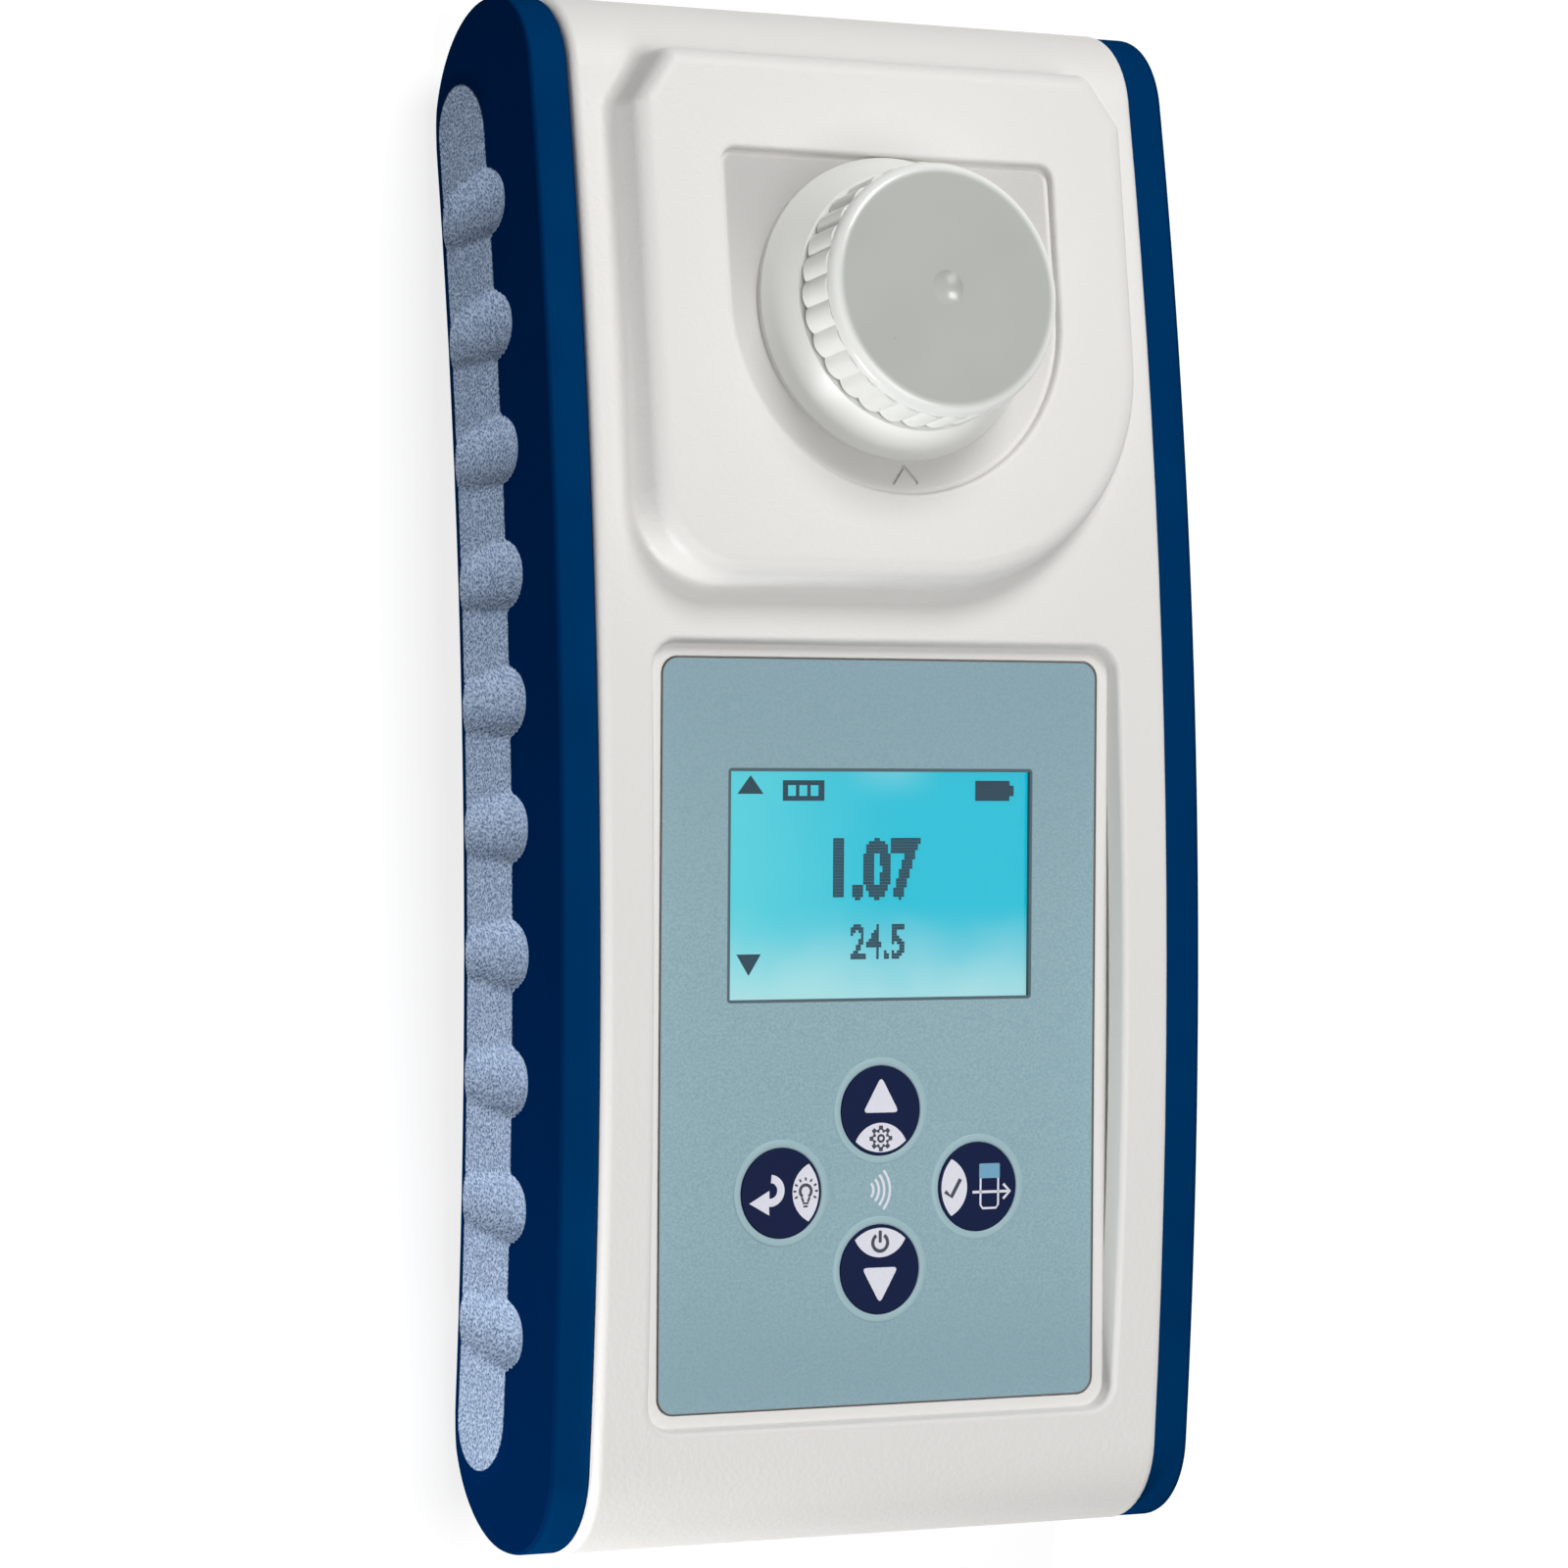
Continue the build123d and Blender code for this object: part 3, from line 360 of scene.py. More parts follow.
def display_finish():
    """Backlit display: the light guide's glow runs from cyan at the top to near white at the lower edge,
    with a lighter patch of painted reflection near the top.
    """
    f = Finish("lit_display", Roughness=0.4, Emission_Strength=0.84, Specular_IOR_Level=0.0)
    x = f.axis("X")
    y = f.axis("Y") - PANEL[0].y - WINDOW_Y
    cloud = f.noise(9.0)
    left = 1.0 - f.step(x + cloud * 6.0, -15.0, 6.0)
    foot = 1.0 - f.step(y + cloud * 5.0, -11.0, 1.0)
    # Painted reflection: a lighter patch in the glow near the window's top
    painted_reflection_patch = f.step(y, 8.0, 13.0) * (1.0 - f.step(abs(x - 1.5), 0.0, 7.0)) * 0.5
    glow = f.mix(left * 0.7, srgb(0, 200, 226), srgb(104, 226, 234))
    glow = f.mix(foot * 0.85, glow, srgb(196, 243, 243))
    glow = f.mix(painted_reflection_patch, glow, srgb(160, 232, 240))
    lines = abs(f.maths("SINE", x * (pi / 0.27))) * 0.04
    f.glow(f.mix(lines, glow, srgb(0, 120, 140)))
    f.colour(srgb(20, 60, 66))
    f.relief(cloud, 0.001)
    return f.material


def print_finish(name, tone, rough=0.4, gloss=0.5):
    """Screen-printed ink, with a little unevenness in the coat."""
    f = Finish(name, Specular_IOR_Level=gloss)
    coat = f.noise(0.5, 3.0)
    f.colour(f.mix(coat, scaled(tone, 0.9), tone))
    f.rough(rough + coat * 0.1)
    f.relief(f.noise(0.2), 0.004)
    return f.material


def clear_finish(name, tone, rough=0.03, ior=1.49, gloss=0.5):
    """Clear plastic or glass with faint haze."""
    f = Finish(name, IOR=ior, Transmission_Weight=1.0, Specular_IOR_Level=gloss)
    haze = f.noise(3.0, 3.0)
    f.colour(f.mix(haze, tone, (1.0, 1.0, 1.0, 1.0)))
    f.rough(rough + f.step(haze, 0.6, 0.9) * 0.05)
    f.relief(f.noise(6.0), 0.004)
    return f.material


def board_finish():
    """Circuit board: green mask over copper tracks that show through."""
    f = Finish("board_mask", Specular_IOR_Level=0.6)
    bends = f.step(f.noise(9.0), 0.45, 0.55) * 2.0
    tracks = f.step(abs(f.maths("SINE", f.axis("X") * 2.1 + bends)), 0.82, 0.92)
    pads = 1.0 - f.step(f.cells(3.4, 0.0), 0.16, 0.2)
    mask = f.mix(tracks * 0.6, srgb(14, 74, 48), srgb(30, 104, 66))
    f.colour(f.mix(pads * 0.8, mask, srgb(196, 190, 170)))
    f.rough(0.32 + f.noise(2.0) * 0.1)
    f.relief(tracks * 0.5 + pads, 0.03)
    return f.material


def cell_finish():
    """Battery wrap: plain two-tone shrink film."""
    f = Finish("cell_wrap", Specular_IOR_Level=0.6)
    second_tone = f.step(f.maths("SINE", f.axis("Y") * 0.14), 0.2, 0.3)
    f.colour(f.mix(second_tone, srgb(52, 56, 62), srgb(176, 128, 60)))
    f.rough(0.28 + f.noise(3.0) * 0.12)
    f.relief(f.noise(2.0), 0.02)
    return f.material


# The white shell carries painted shade in the dish round the well
WHITE = plastic("white_shell", srgb(224, 222, 219), 0.44, 0.55, 0.035, srgb(238, 237, 234), 0.015, 0.35,
                dish_shade)
# The collar's tone is partly its own whiter plastic and partly painted light, making up for shade on its
# sloped face
COLLAR_WHITE = plastic("collar_white", srgb(244, 245, 241), 0.34, 1.6, 0.006, srgb(252, 252, 249), 0.01,
                       0.12)
BLACK = plastic("black_plastic", srgb(26, 26, 28), 0.5, 0.4, 0.02, srgb(60, 60, 64))
NAVY = grip_finish()
KEY_NAVY = print_finish("key_navy", srgb(10, 24, 62), 0.4, 0.08)
INK_WHITE = print_finish("ink_white", srgb(226, 226, 238))
INK_BLUE = print_finish("ink_blue", srgb(104, 160, 190))
INK_DARK = print_finish("ink_dark", srgb(12, 26, 44))
PIXEL = print_finish("pixel_dark", srgb(24, 66, 84), 0.5, 0.0)
# The key rims' pale tone is painted highlight on their embossed beads
PAINTED_RIM_HIGHLIGHT = print_finish("rim_pale", srgb(154, 184, 192))
DISPLAY = display_finish()
STEEL = metal("steel", srgb(176, 178, 180), 0.28, 0.2)

for material, names in (
    (WHITE, "front_shell rear_shell battery_lid"),
    (COLLAR_WHITE, "chamber_collar"),
    (cap_finish(), "vial_cap"),
    (NAVY, "left_grip right_grip"),
    (foil_finish(), "keypad_foil"),
    (KEY_NAVY, "key_up key_back key_test key_down"),
    (clear_finish("clear_window", (0.96, 0.99, 1.0, 1.0), gloss=0.1), "display_window"),
    (DISPLAY, "display_glass"),
    (print_finish("light_guide", srgb(232, 236, 238), 0.3), "backlight"),
    (BLACK, "display_frame chamber_block detector key_switches data_module"),
    (board_finish(), "circuit_board"),
    (STEEL, "board_screws chamber_screws lid_screws housing_screws"),
    (metal("spring_steel", srgb(198, 196, 186), 0.2, 0.15), "contact_plates contact_springs"),
    (rubber("seal_rubber", srgb(44, 46, 50)), "housing_seal lid_seal light_seal"),
    (rubber("foot_rubber", srgb(34, 36, 40)), "feet"),
    (clear_finish("vial_glass", (0.72, 0.84, 0.82, 1.0), 0.01, 1.52), "vial_glass light_source"),
    (clear_finish("filter_green", (0.45, 0.9, 0.55, 1.0), 0.02, 1.52), "filter_disc"),
    (rubber("liner_foam", srgb(214, 212, 204)), "cap_liner"),
    (cell_finish(), "battery_cells"),
):
    for name in names.split():
        nodes[name].data.materials.clear()
        nodes[name].data.materials.append(material)


def finished(name, mesh, material, body, smooth=None):
    """Links a mesh whose places are already in the model's frame, and lets it ride on a body."""
    piece = bpy.data.objects.new(name, mesh)
    bpy.context.scene.collection.objects.link(piece)
    mesh.materials.append(material)
    if smooth is not None:
        mesh.shade_smooth()
        mesh.set_sharp_from_angle(angle=radians(smooth))
    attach(piece, body)
    return piece


def cheek_outline():
    """Side view of a cheek as a closed line of (y, z), evenly spaced, going once round."""
    top_y, low_y = HALF_LENGTH - FRONT_ROUND, HALF_LENGTH - BACK_ROUND
    top_z = ARCH_CENTRE + sqrt((ARCH - FRONT_ROUND) ** 2 - top_y**2)
    low_z = ARCH_CENTRE + sqrt((ARCH - DEPTH + BACK_ROUND) ** 2 - low_y**2)
    lean_top, lean_low = atan2(top_y, top_z - ARCH_CENTRE), atan2(low_y, low_z - ARCH_CENTRE)
    line = []
    for a in np.linspace(-lean_top, lean_top, ARCH_STEPS):
        line.append((ARCH * sin(a), ARCH_CENTRE + ARCH * cos(a)))
    for a in np.linspace(pi / 2 - lean_top, 0, ROUND_STEPS):
        line.append((top_y + FRONT_ROUND * cos(a), top_z + FRONT_ROUND * sin(a)))
    for a in np.linspace(0, -pi / 2 - lean_low, ROUND_STEPS):
        line.append((low_y + BACK_ROUND * cos(a), low_z + BACK_ROUND * sin(a)))
    for a in np.linspace(lean_low, -lean_low, ARCH_STEPS):
        line.append(((ARCH - DEPTH) * sin(a), ARCH_CENTRE + (ARCH - DEPTH) * cos(a)))
    for a in np.linspace(-pi / 2 + lean_low, -pi, ROUND_STEPS):
        line.append((-low_y + BACK_ROUND * cos(a), low_z + BACK_ROUND * sin(a)))
    for a in np.linspace(pi, pi / 2 + lean_top, ROUND_STEPS):
        line.append((-top_y + FRONT_ROUND * cos(a), top_z + FRONT_ROUND * sin(a)))
    line = np.array(line + line[:1])
    run = np.concatenate([[0], np.cumsum(np.hypot(*np.diff(line, axis=0).T))])
    at = np.linspace(0, run[-1], int(run[-1] / CHEEK_SPACING), endpoint=False)
    return np.stack([np.interp(at, run, line[:, 0]), np.interp(at, run, line[:, 1])], axis=1)


def cheek_side(y, z):
    """How far out the cheek's side stands at a place, and how coarse it is there."""
    radius = np.hypot(y, z - ARCH_CENTRE)
    below = ARCH - radius
    station = ARCH * np.arctan2(y, z - ARCH_CENTRE)
    past_end = np.maximum(0, np.abs(station) * radius / ARCH - STRIP_REACH)
    off_strip = np.hypot(past_end, below - STRIP_LOW) - STRIP_HALF
    fall = np.clip(off_strip / STRIP_SLOPE, 0, 1)
    low_rim = np.clip((below - (DEPTH - LOW_RIM)) / LOW_RIM, 0, 1)
    out = HALF_WIDTH - STRIP_RAISE * (1 - (1 - fall) ** 2) - LOW_RIM_FALL * low_rim**2
    coarse = 1 - np.clip(off_strip / STRIP_FADE + 0.5, 0, 1)
    run = np.clip((below - SCOOP_TOP) / (DEPTH - SCOOP_TOP), 0, 1)
    for i in range(SCOOPS):
        across = station - (SCOOP_FIRST + SCOOP_PITCH * i)
        reach = np.hypot(across, np.maximum(0, SCOOP_TOP - below))
        hollow = np.sqrt(np.maximum(0.01, SCOOP_ROUND**2 - reach**2))
        scoop = HALF_WIDTH + SCOOP_ROUND - (SCOOP_DEPTH - SCOOP_RUN * run) - hollow
        scoop = np.where(reach < SCOOP_ROUND - SCOOP_BRIM, scoop, NO_SCOOP)
        coarse = np.maximum(coarse, np.clip((out - scoop) / BRIM_FADE + 0.2, 0, 1))
        # The lesser of the two surfaces, with a smooth change over, so that the scoop's brim is rounded
        both = np.exp((HALF_WIDTH - scoop) / SCOOP_BLEND) + np.exp((HALF_WIDTH - out) / SCOOP_BLEND)
        deeper = HALF_WIDTH - SCOOP_BLEND * np.log(both)
        out = np.where(scoop < out + 6 * SCOOP_BLEND, deeper, out)
    return out, coarse


def cheek(name, side):
    """A cheek with a rounded outer edge, a raised strip and ten finger scoops along its side."""
    line = cheek_outline()
    tangent = np.roll(line, -1, axis=0) - np.roll(line, 1, axis=0)
    tangent /= np.linalg.norm(tangent, axis=1)[:, None]
    inward = np.stack([tangent[:, 1], -tangent[:, 0]], axis=1)
    face = HALF_WIDTH - CHEEK_EDGE

    # Closed lines from the seam, round both edges and in to the strip's middle, each with its distance out
    rings = []
    for tilt in (0, 30, 60, 90):
        rings.append((line + inward * CHEEK_SEAM * (1 - sin(radians(tilt))),
                      WHITE_HALF + CHEEK_SEAM * (1 - cos(radians(tilt)))))
    rings.append((line, face - SEAM_WALL))
    for tilt in range(0, 90, 15):
        rings.append((line + inward * CHEEK_EDGE * (1 - cos(radians(tilt))),
                      face + CHEEK_EDGE * sin(radians(tilt))))
    edge_line = line + inward * CHEEK_EDGE
    middle_radius, reach = ARCH - STRIP_LOW, STRIP_REACH / ARCH
    lean = np.clip(np.arctan2(edge_line[:, 0], edge_line[:, 1] - ARCH_CENTRE), -reach, reach)
    middle = np.stack([middle_radius * np.sin(lean), ARCH_CENTRE + middle_radius * np.cos(lean)], axis=1)
    strip_edge = (STRIP_LOW - STRIP_HALF - CHEEK_EDGE) / (STRIP_LOW - CHEEK_EDGE)
    for way in sorted(list(np.linspace(0, 1, CHEEK_RINGS)) + [strip_edge]):
        rings.append((edge_line + (middle - edge_line) * way, None))

    places, grain = [], []
    for points, x in rings:
        limit, coarse = cheek_side(points[:, 0], points[:, 1])
        x = limit if x is None else np.minimum(x, limit)
        places.append(np.stack([side * x, points[:, 0], points[:, 1]], axis=1))
        grain.append(coarse * (x > face - TEXTURE_START))
    count = len(line)
    faces = [list(range(count))]
    for r in range(len(rings) - 1):
        for i in range(count):
            j = (i + 1) % count
            faces.append((r * count + i, r * count + j, (r + 1) * count + j, (r + 1) * count + i))
    mesh = bpy.data.meshes.new(name)
    mesh.from_pydata((np.concatenate(places) * MM).tolist(), [], faces)
    attribute = mesh.attributes.new("coarse", "FLOAT", "POINT")
    attribute.data.foreach_set("value", np.concatenate(grain).astype(np.float32))
    work = bmesh.new()
    work.from_mesh(mesh)
    work.faces.ensure_lookup_table()
    bmesh.ops.triangulate(work, faces=[work.faces[0]])
    bmesh.ops.remove_doubles(work, verts=work.verts, dist=0.02 * MM)
    bmesh.ops.recalc_face_normals(work, faces=work.faces)
    work.to_mesh(mesh)
    work.free()
    return finished(name, mesh, NAVY, "housing", 50)


for name, side in (("left_grip", -1), ("right_grip", 1)):
    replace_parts(cheek("scooped_" + name, side), name)


def turn(points, angle):
    c, s = cos(radians(angle)), sin(radians(angle))
    return [(x * c - y * s, x * s + y * c) for x, y in points]


def arc(cx, cy, r, start, end, steps=24):
    return [(cx + r * cos(radians(a)), cy + r * sin(radians(a))) for a in np.linspace(start, end, steps)]


def band(cx, cy, inner, outer, start, end, steps=24):
    return arc(cx, cy, outer, start, end, steps) + arc(cx, cy, inner, end, start, steps)


def block(x0, y0, x1, y1):
    return [(x0, y0), (x1, y0), (x1, y1), (x0, y1)]


def stroke(points, width):
    """Outline of an open line drawn with a square-ended pen."""
    left, right = [], []
    for i, (x, y) in enumerate(points):
        before = points[max(0, i - 1)]
        after = points[min(len(points) - 1, i + 1)]
        a = atan2(after[1] - before[1], after[0] - before[0])
        left.append((x - sin(a) * width / 2, y + cos(a) * width / 2))
        right.append((x + sin(a) * width / 2, y - cos(a) * width / 2))
    return left + right[::-1]


def rounded(points, r):
    """A polygon with its corners rounded."""
    out = []
    for i, p in enumerate(points):
        p, a, b = Vector(p), Vector(points[i - 1]), Vector(points[(i + 1) % len(points)])
        ua, ub = (a - p).normalized(), (b - p).normalized()
        half = ua.angle(ub) / 2
        start, end = p + ua * (r / tan(half)), p + ub * (r / tan(half))
        for t in (0, 0.25, 0.5, 0.75, 1):
            q = start * (1 - t) ** 2 + p * 2 * t * (1 - t) + end * t**2
            out.append((q.x, q.y))
    return out


def moved(shapes, dx, dy):
    return [[(x + dx, y + dy) for x, y in shape] for shape in shapes]


def decal(name, shapes, height, material, body):
    """Flat printed shapes on a plane at a height above the panel, as thin solid films."""
    work = bmesh.new()
    for shape in shapes:
        low = [work.verts.new(on_panel(x, y, height)) for x, y in shape]
        high = [work.verts.new(on_panel(x, y, height + FILM)) for x, y in shape]
        count = len(shape)
        work.faces.new(high)
        work.faces.new(low[::-1])
        for i in range(count):
            work.faces.new((low[i], low[(i + 1) % count], high[(i + 1) % count], high[i]))
    bmesh.ops.recalc_face_normals(work, faces=work.faces)
    bmesh.ops.triangulate(work, faces=work.faces)
    mesh = bpy.data.meshes.new(name)
    work.to_mesh(mesh)
    work.free()
    return finished(name, mesh, material, body)


# Key prints, in layers of pale and dark ink by turns: a pale lens on the side towards the middle of the
# cross, and icons in plain generic forms
LENS = arc(0, 0, 4.28, -133.2, -46.8) + arc(0, -4.5, 3.25, 25, 155)
TRIANGLE = rounded([(0, 3.5), (-2.1, -0.2), (2.1, -0.2)], 0.35)
GEAR_Y = -2.85
GEAR = [(r * cos(radians(45 * tooth + a)), GEAR_Y + r * sin(radians(45 * tooth + a)))
        for tooth in range(8) for a, r in ((-15, 0.98), (-9, 1.34), (9, 1.34), (15, 0.98))]
GEAR_IN = [(0.66 * x, GEAR_Y + 0.66 * (y - GEAR_Y)) for x, y in GEAR]
RETURN = ([(-3.7, -0.95), (-1.4, 0.32), (-1.4, -0.5)] + arc(-1.3, 0.3, 0.8, -95, 85, 14)
          + arc(-1.3, 0.3, 1.63, 85, -95, 18) + [(-1.4, -2.2)])
LAMP_X, LAMP_Y = 2.76, 0.15
RAYS = [stroke(arc(LAMP_X, LAMP_Y, 1.08, a, a, 1) + arc(LAMP_X, LAMP_Y, 1.42, a, a, 1), 0.2)
        for a in range(-30, 211, 30)]
LAMP = [band(LAMP_X, LAMP_Y, 0.48, 0.8, -58, 238, 30),
        stroke([(2.32, -0.5), (2.5, -0.95)], 0.24), stroke([(3.2, -0.5), (3.02, -0.95)], 0.24),
        stroke([(2.42, -1.08), (3.1, -1.08)], 0.2), stroke([(2.5, -1.4), (3.02, -1.4)], 0.2)]
POWER = [band(0, 2.75, 0.68, 1.05, 122, 418, 30), rounded(block(-0.18, 2.75, 0.18, 4.0), 0.08)]
BEAM = [stroke([(-0.6, -0.56), (3.75, -0.56)], 0.28),
        stroke([(3.05, 0.2), (3.85, -0.56), (3.05, -1.32)], 0.28)]
TUBE = stroke([(0.35, 0.85), (0.35, -1.9), (0.6, -2.25), (2.2, -2.25), (2.45, -1.9), (2.45, 0.85)], 0.22)
TICK = stroke([(-3.85, -0.4), (-3.1, -0.95), (-2.05, 0.85)], 0.42)
KEY_PRINTS = {
    "key_up": ([LENS, TRIANGLE], [GEAR], [GEAR_IN],
               [arc(0, GEAR_Y, 0.46, 0, 345)], [arc(0, GEAR_Y, 0.2, 0, 345)]),
    "key_back": ([turn(LENS, 90), RETURN], RAYS + LAMP),
    "key_test": ([turn(LENS, -90)] + BEAM + [TUBE], [TICK]),
    "key_down": ([turn(LENS, 180), turn(TRIANGLE, 180)], POWER),
}
for name, place in KEYS.items():
    for layer, shapes in enumerate(KEY_PRINTS[name]):
        height = KEY_PROUD + FILM_LIFT + FILM_STEP * layer
        decal(name + "_print_" + str(layer), moved(shapes, *place), height,
              INK_DARK if layer % 2 else INK_WHITE, name)
decal("key_test_vial", moved([rounded(block(0.18, 0.85, 2.62, 2.38), 0.15)], *KEYS["key_test"]),
      KEY_PROUD + TOP_FILM_LIFT, INK_BLUE, "key_test")
waves = [band(-1.8, CROSS_Y, r - 0.14, r + 0.14, -42, 42, 14) for r in (1.05, 1.68, 2.32, 2.98)]
decal("wave_print", waves, FILM_LIFT, INK_WHITE, "housing")


class Pattern(Tree):
    """A Geometry Nodes tree that sets copies of one form on points. Its sizes are named inputs."""

    def __init__(self, name, **sizes):
        super().__init__(bpy.data.node_groups.new(name, "GeometryNodeTree"))
        self.sizes = {label: value * MM for label, value in sizes.items()}
        face = self.tree.interface
        face.new_socket("points", in_out="INPUT", socket_type="NodeSocketGeometry")
        for label in sizes:
            face.new_socket(label, in_out="INPUT", socket_type="NodeSocketFloat")
        face.new_socket("result", in_out="OUTPUT", socket_type="NodeSocketGeometry")
        self.inlet = self.tree.nodes.new("NodeGroupInput")
        self.outlet = self.tree.nodes.new("NodeGroupOutput")

    def size(self, label):
        """One of the tree's inputs; sizes were given in millimetres and are metres in the tree."""
        return Level(self, self.inlet.outputs[label])

    def triple(self, x, y, z):
        return self.node("ShaderNodeCombineXYZ", None, {"X": x, "Y": y, "Z": z})

    def box(self, x, y, z):
        return self.node("GeometryNodeMeshCube", None, {"Size": self.triple(x, y, z)}, "Mesh")

    def circle(self, radius, steps):
        return self.node("GeometryNodeCurvePrimitiveCircle", None, {
            "Resolution": steps, "Radius": radius}, "Curve")

    def rod(self, radius, depth, sides):
        return self.node("GeometryNodeMeshCylinder", None, {
            "Vertices": sides, "Radius": radius, "Depth": depth}, "Mesh")

    def boolean(self, operation, forms):
        return self.node("GeometryNodeMeshBoolean", {"operation": operation}, forms, "Mesh")

    def moved(self, form, height):
        return self.node("GeometryNodeTransform", None, {
            "Geometry": form, "Translation": self.triple(0.0, 0.0, height)})

    def set_on_points(self, form, points, leans, material):
        """Places the form at points, in metres, turned by the angles in leans; gives one plain mesh."""
        lean = self.node("GeometryNodeInputNamedAttribute", {"data_type": "FLOAT_VECTOR"}, {"Name": "lean"})
        copies = self.node("GeometryNodeInstanceOnPoints", None, {
            "Points": self.size("points"), "Instance": form,
            "Rotation": self.node("FunctionNodeEulerToRotation", None, {0: lean})})
        real = self.node("GeometryNodeRealizeInstances", None, {"Geometry": copies})
        self.feed(self.outlet.inputs[0],
                  self.node("GeometryNodeSetMaterial", None, {"Geometry": real, "Material": material}))
        seeds = bpy.data.meshes.new(self.tree.name + "_points")
        seeds.from_pydata([tuple(p) for p in points], [], [])
        angles = seeds.attributes.new("lean", "FLOAT_VECTOR", "POINT")
        angles.data.foreach_set("vector", [angle for lean_angles in leans for angle in lean_angles])
        holder = bpy.data.objects.new(self.tree.name + "_holder", seeds)
        bpy.context.scene.collection.objects.link(holder)
        modifier = holder.modifiers.new("pattern", "NODES")
        modifier.node_group = self.tree
        for item in self.tree.interface.items_tree:
            if item.in_out == "INPUT" and item.name in self.sizes:
                modifier[item.identifier] = self.sizes[item.name]
        view = bpy.context.evaluated_depsgraph_get()
        result = bpy.data.meshes.new_from_object(holder.evaluated_get(view))
        holder.modifiers.remove(modifier)
        bpy.data.objects.remove(holder)
        result.materials.clear()
        return result


PANEL_LEAN = (-atan2(PANEL[2].y, PANEL[2].z), 0.0, 0.0)

# Embossed rims round the keys: a low round bead on a circle, one for each key, pale with painted highlight
rims = Pattern("key_rims", rim_radius=5.05, half_width=0.42, half_height=0.1092)
bead = rims.node("GeometryNodeCurveToMesh", None, {
    "Curve": rims.circle(rims.size("rim_radius"), 96),
    "Profile Curve": rims.circle(rims.size("half_width"), 14)})
flatness = rims.maths("DIVIDE", rims.size("half_height"), rims.size("half_width"))
flat_bead = rims.node("GeometryNodeTransform", None, {
    "Geometry": bead, "Scale": rims.triple(1.0, 1.0, flatness)})
key_points = [on_panel(x, y) for x, y in KEYS.values()]
rim_mesh = rims.set_on_points(flat_bead, key_points, [PANEL_LEAN] * len(key_points), PAINTED_RIM_HIGHLIGHT)
finished("key_rims", rim_mesh, PAINTED_RIM_HIGHLIGHT, "housing", 60)


def head_faces(node, facing):
    """Middle of each screw head's face in a CAD node, in metres, and the length of its screws."""
    work = bmesh.new()
    work.from_mesh(nodes[node].data)
    bmesh.ops.remove_doubles(work, verts=work.verts, dist=0.001 * MM)
    loose, middles, length = set(work.verts), [], 0.0
    for first in list(work.verts):
        if first not in loose:
            continue
        loose.discard(first)
        found, waiting = [], [first]
        while waiting:
            corner = waiting.pop()
            found.append(corner.co.copy())
            for edge in corner.link_edges:
                other = edge.other_vert(corner)
                if other in loose:
                    loose.discard(other)
                    waiting.append(other)
        heights = [point.dot(facing) for point in found]
        top = [point for point, height in zip(found, heights) if height > max(heights) - 0.01 * MM]
        middles.append(sum(top, Vector()) / len(top))
        length = max(length, max(heights) - min(heights))
    work.free()
    return middles, length / MM


# Screws of the battery lid and the housing: pan heads with a rounded shoulder and a cross recess. Each row
# has the piece, its CAD node and body, the way the heads face, and the radii of shank and head and the
# height of the head.
SCREWS = (
    ("crossed_lid_screws", "lid_screws", "lid", -PANEL[2], 1.0, 1.9, 1.3),
    ("crossed_housing_screws", "housing_screws", "housing", Vector((0, 0, -1)), 1.5, 2.4, 1.8),
)
for name, node, body, facing, shank_radius, head_radius, head_height in SCREWS:
    middles, length = head_faces(node, facing)
    screw = Pattern(name, head_radius=head_radius, head_height=head_height,
                    shank_radius=shank_radius, shank_length=length - head_height,
                    slot_width=0.34 * head_radius, slot_depth=0.55 * head_height)
    radius, height = screw.size("head_radius"), screw.size("head_height")
    shank, slot = screw.size("shank_length"), screw.size("slot_width")
    shoulder_height = height * 0.35
    shoulder = screw.node("GeometryNodeMeshCone", None, {
        "Vertices": 48, "Radius Top": radius * 0.84, "Radius Bottom": radius,
        "Depth": shoulder_height}, "Mesh")
    shoulder = screw.moved(shoulder, -shoulder_height)
    wall = screw.moved(screw.rod(radius, height - shoulder_height, 48), (height + shoulder_height) * -0.5)
    rod = screw.moved(screw.rod(screw.size("shank_radius"), shank, 32), shank * -0.5 - height)
    whole = screw.boolean("UNION", {"Mesh 2": [shoulder, wall, rod]})
    slot_length, slot_height = radius * 1.15, screw.size("slot_depth") * 2.0
    arms = [screw.box(slot_length, slot, slot_height), screw.box(slot, slot_length, slot_height)]
    driven = screw.boolean("DIFFERENCE", {"Mesh 1": whole, "Mesh 2": arms})
    leans = [(atan2(-facing.y, facing.z), 0.0, 0.37 * i) for i in range(len(middles))]
    piece = finished(name, screw.set_on_points(driven, middles, leans, STEEL), STEEL, body, 30)
    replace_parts(piece, node)


def covered(point, triangles):
    """Whether a point lies in any of the triangles."""
    along = np.roll(triangles, -1, axis=1) - triangles
    side = along[..., 0] * (point[1] - triangles[..., 1]) - along[..., 1] * (point[0] - triangles[..., 0])
    return ((side >= 0).all(axis=1) | (side <= 0).all(axis=1)).any()


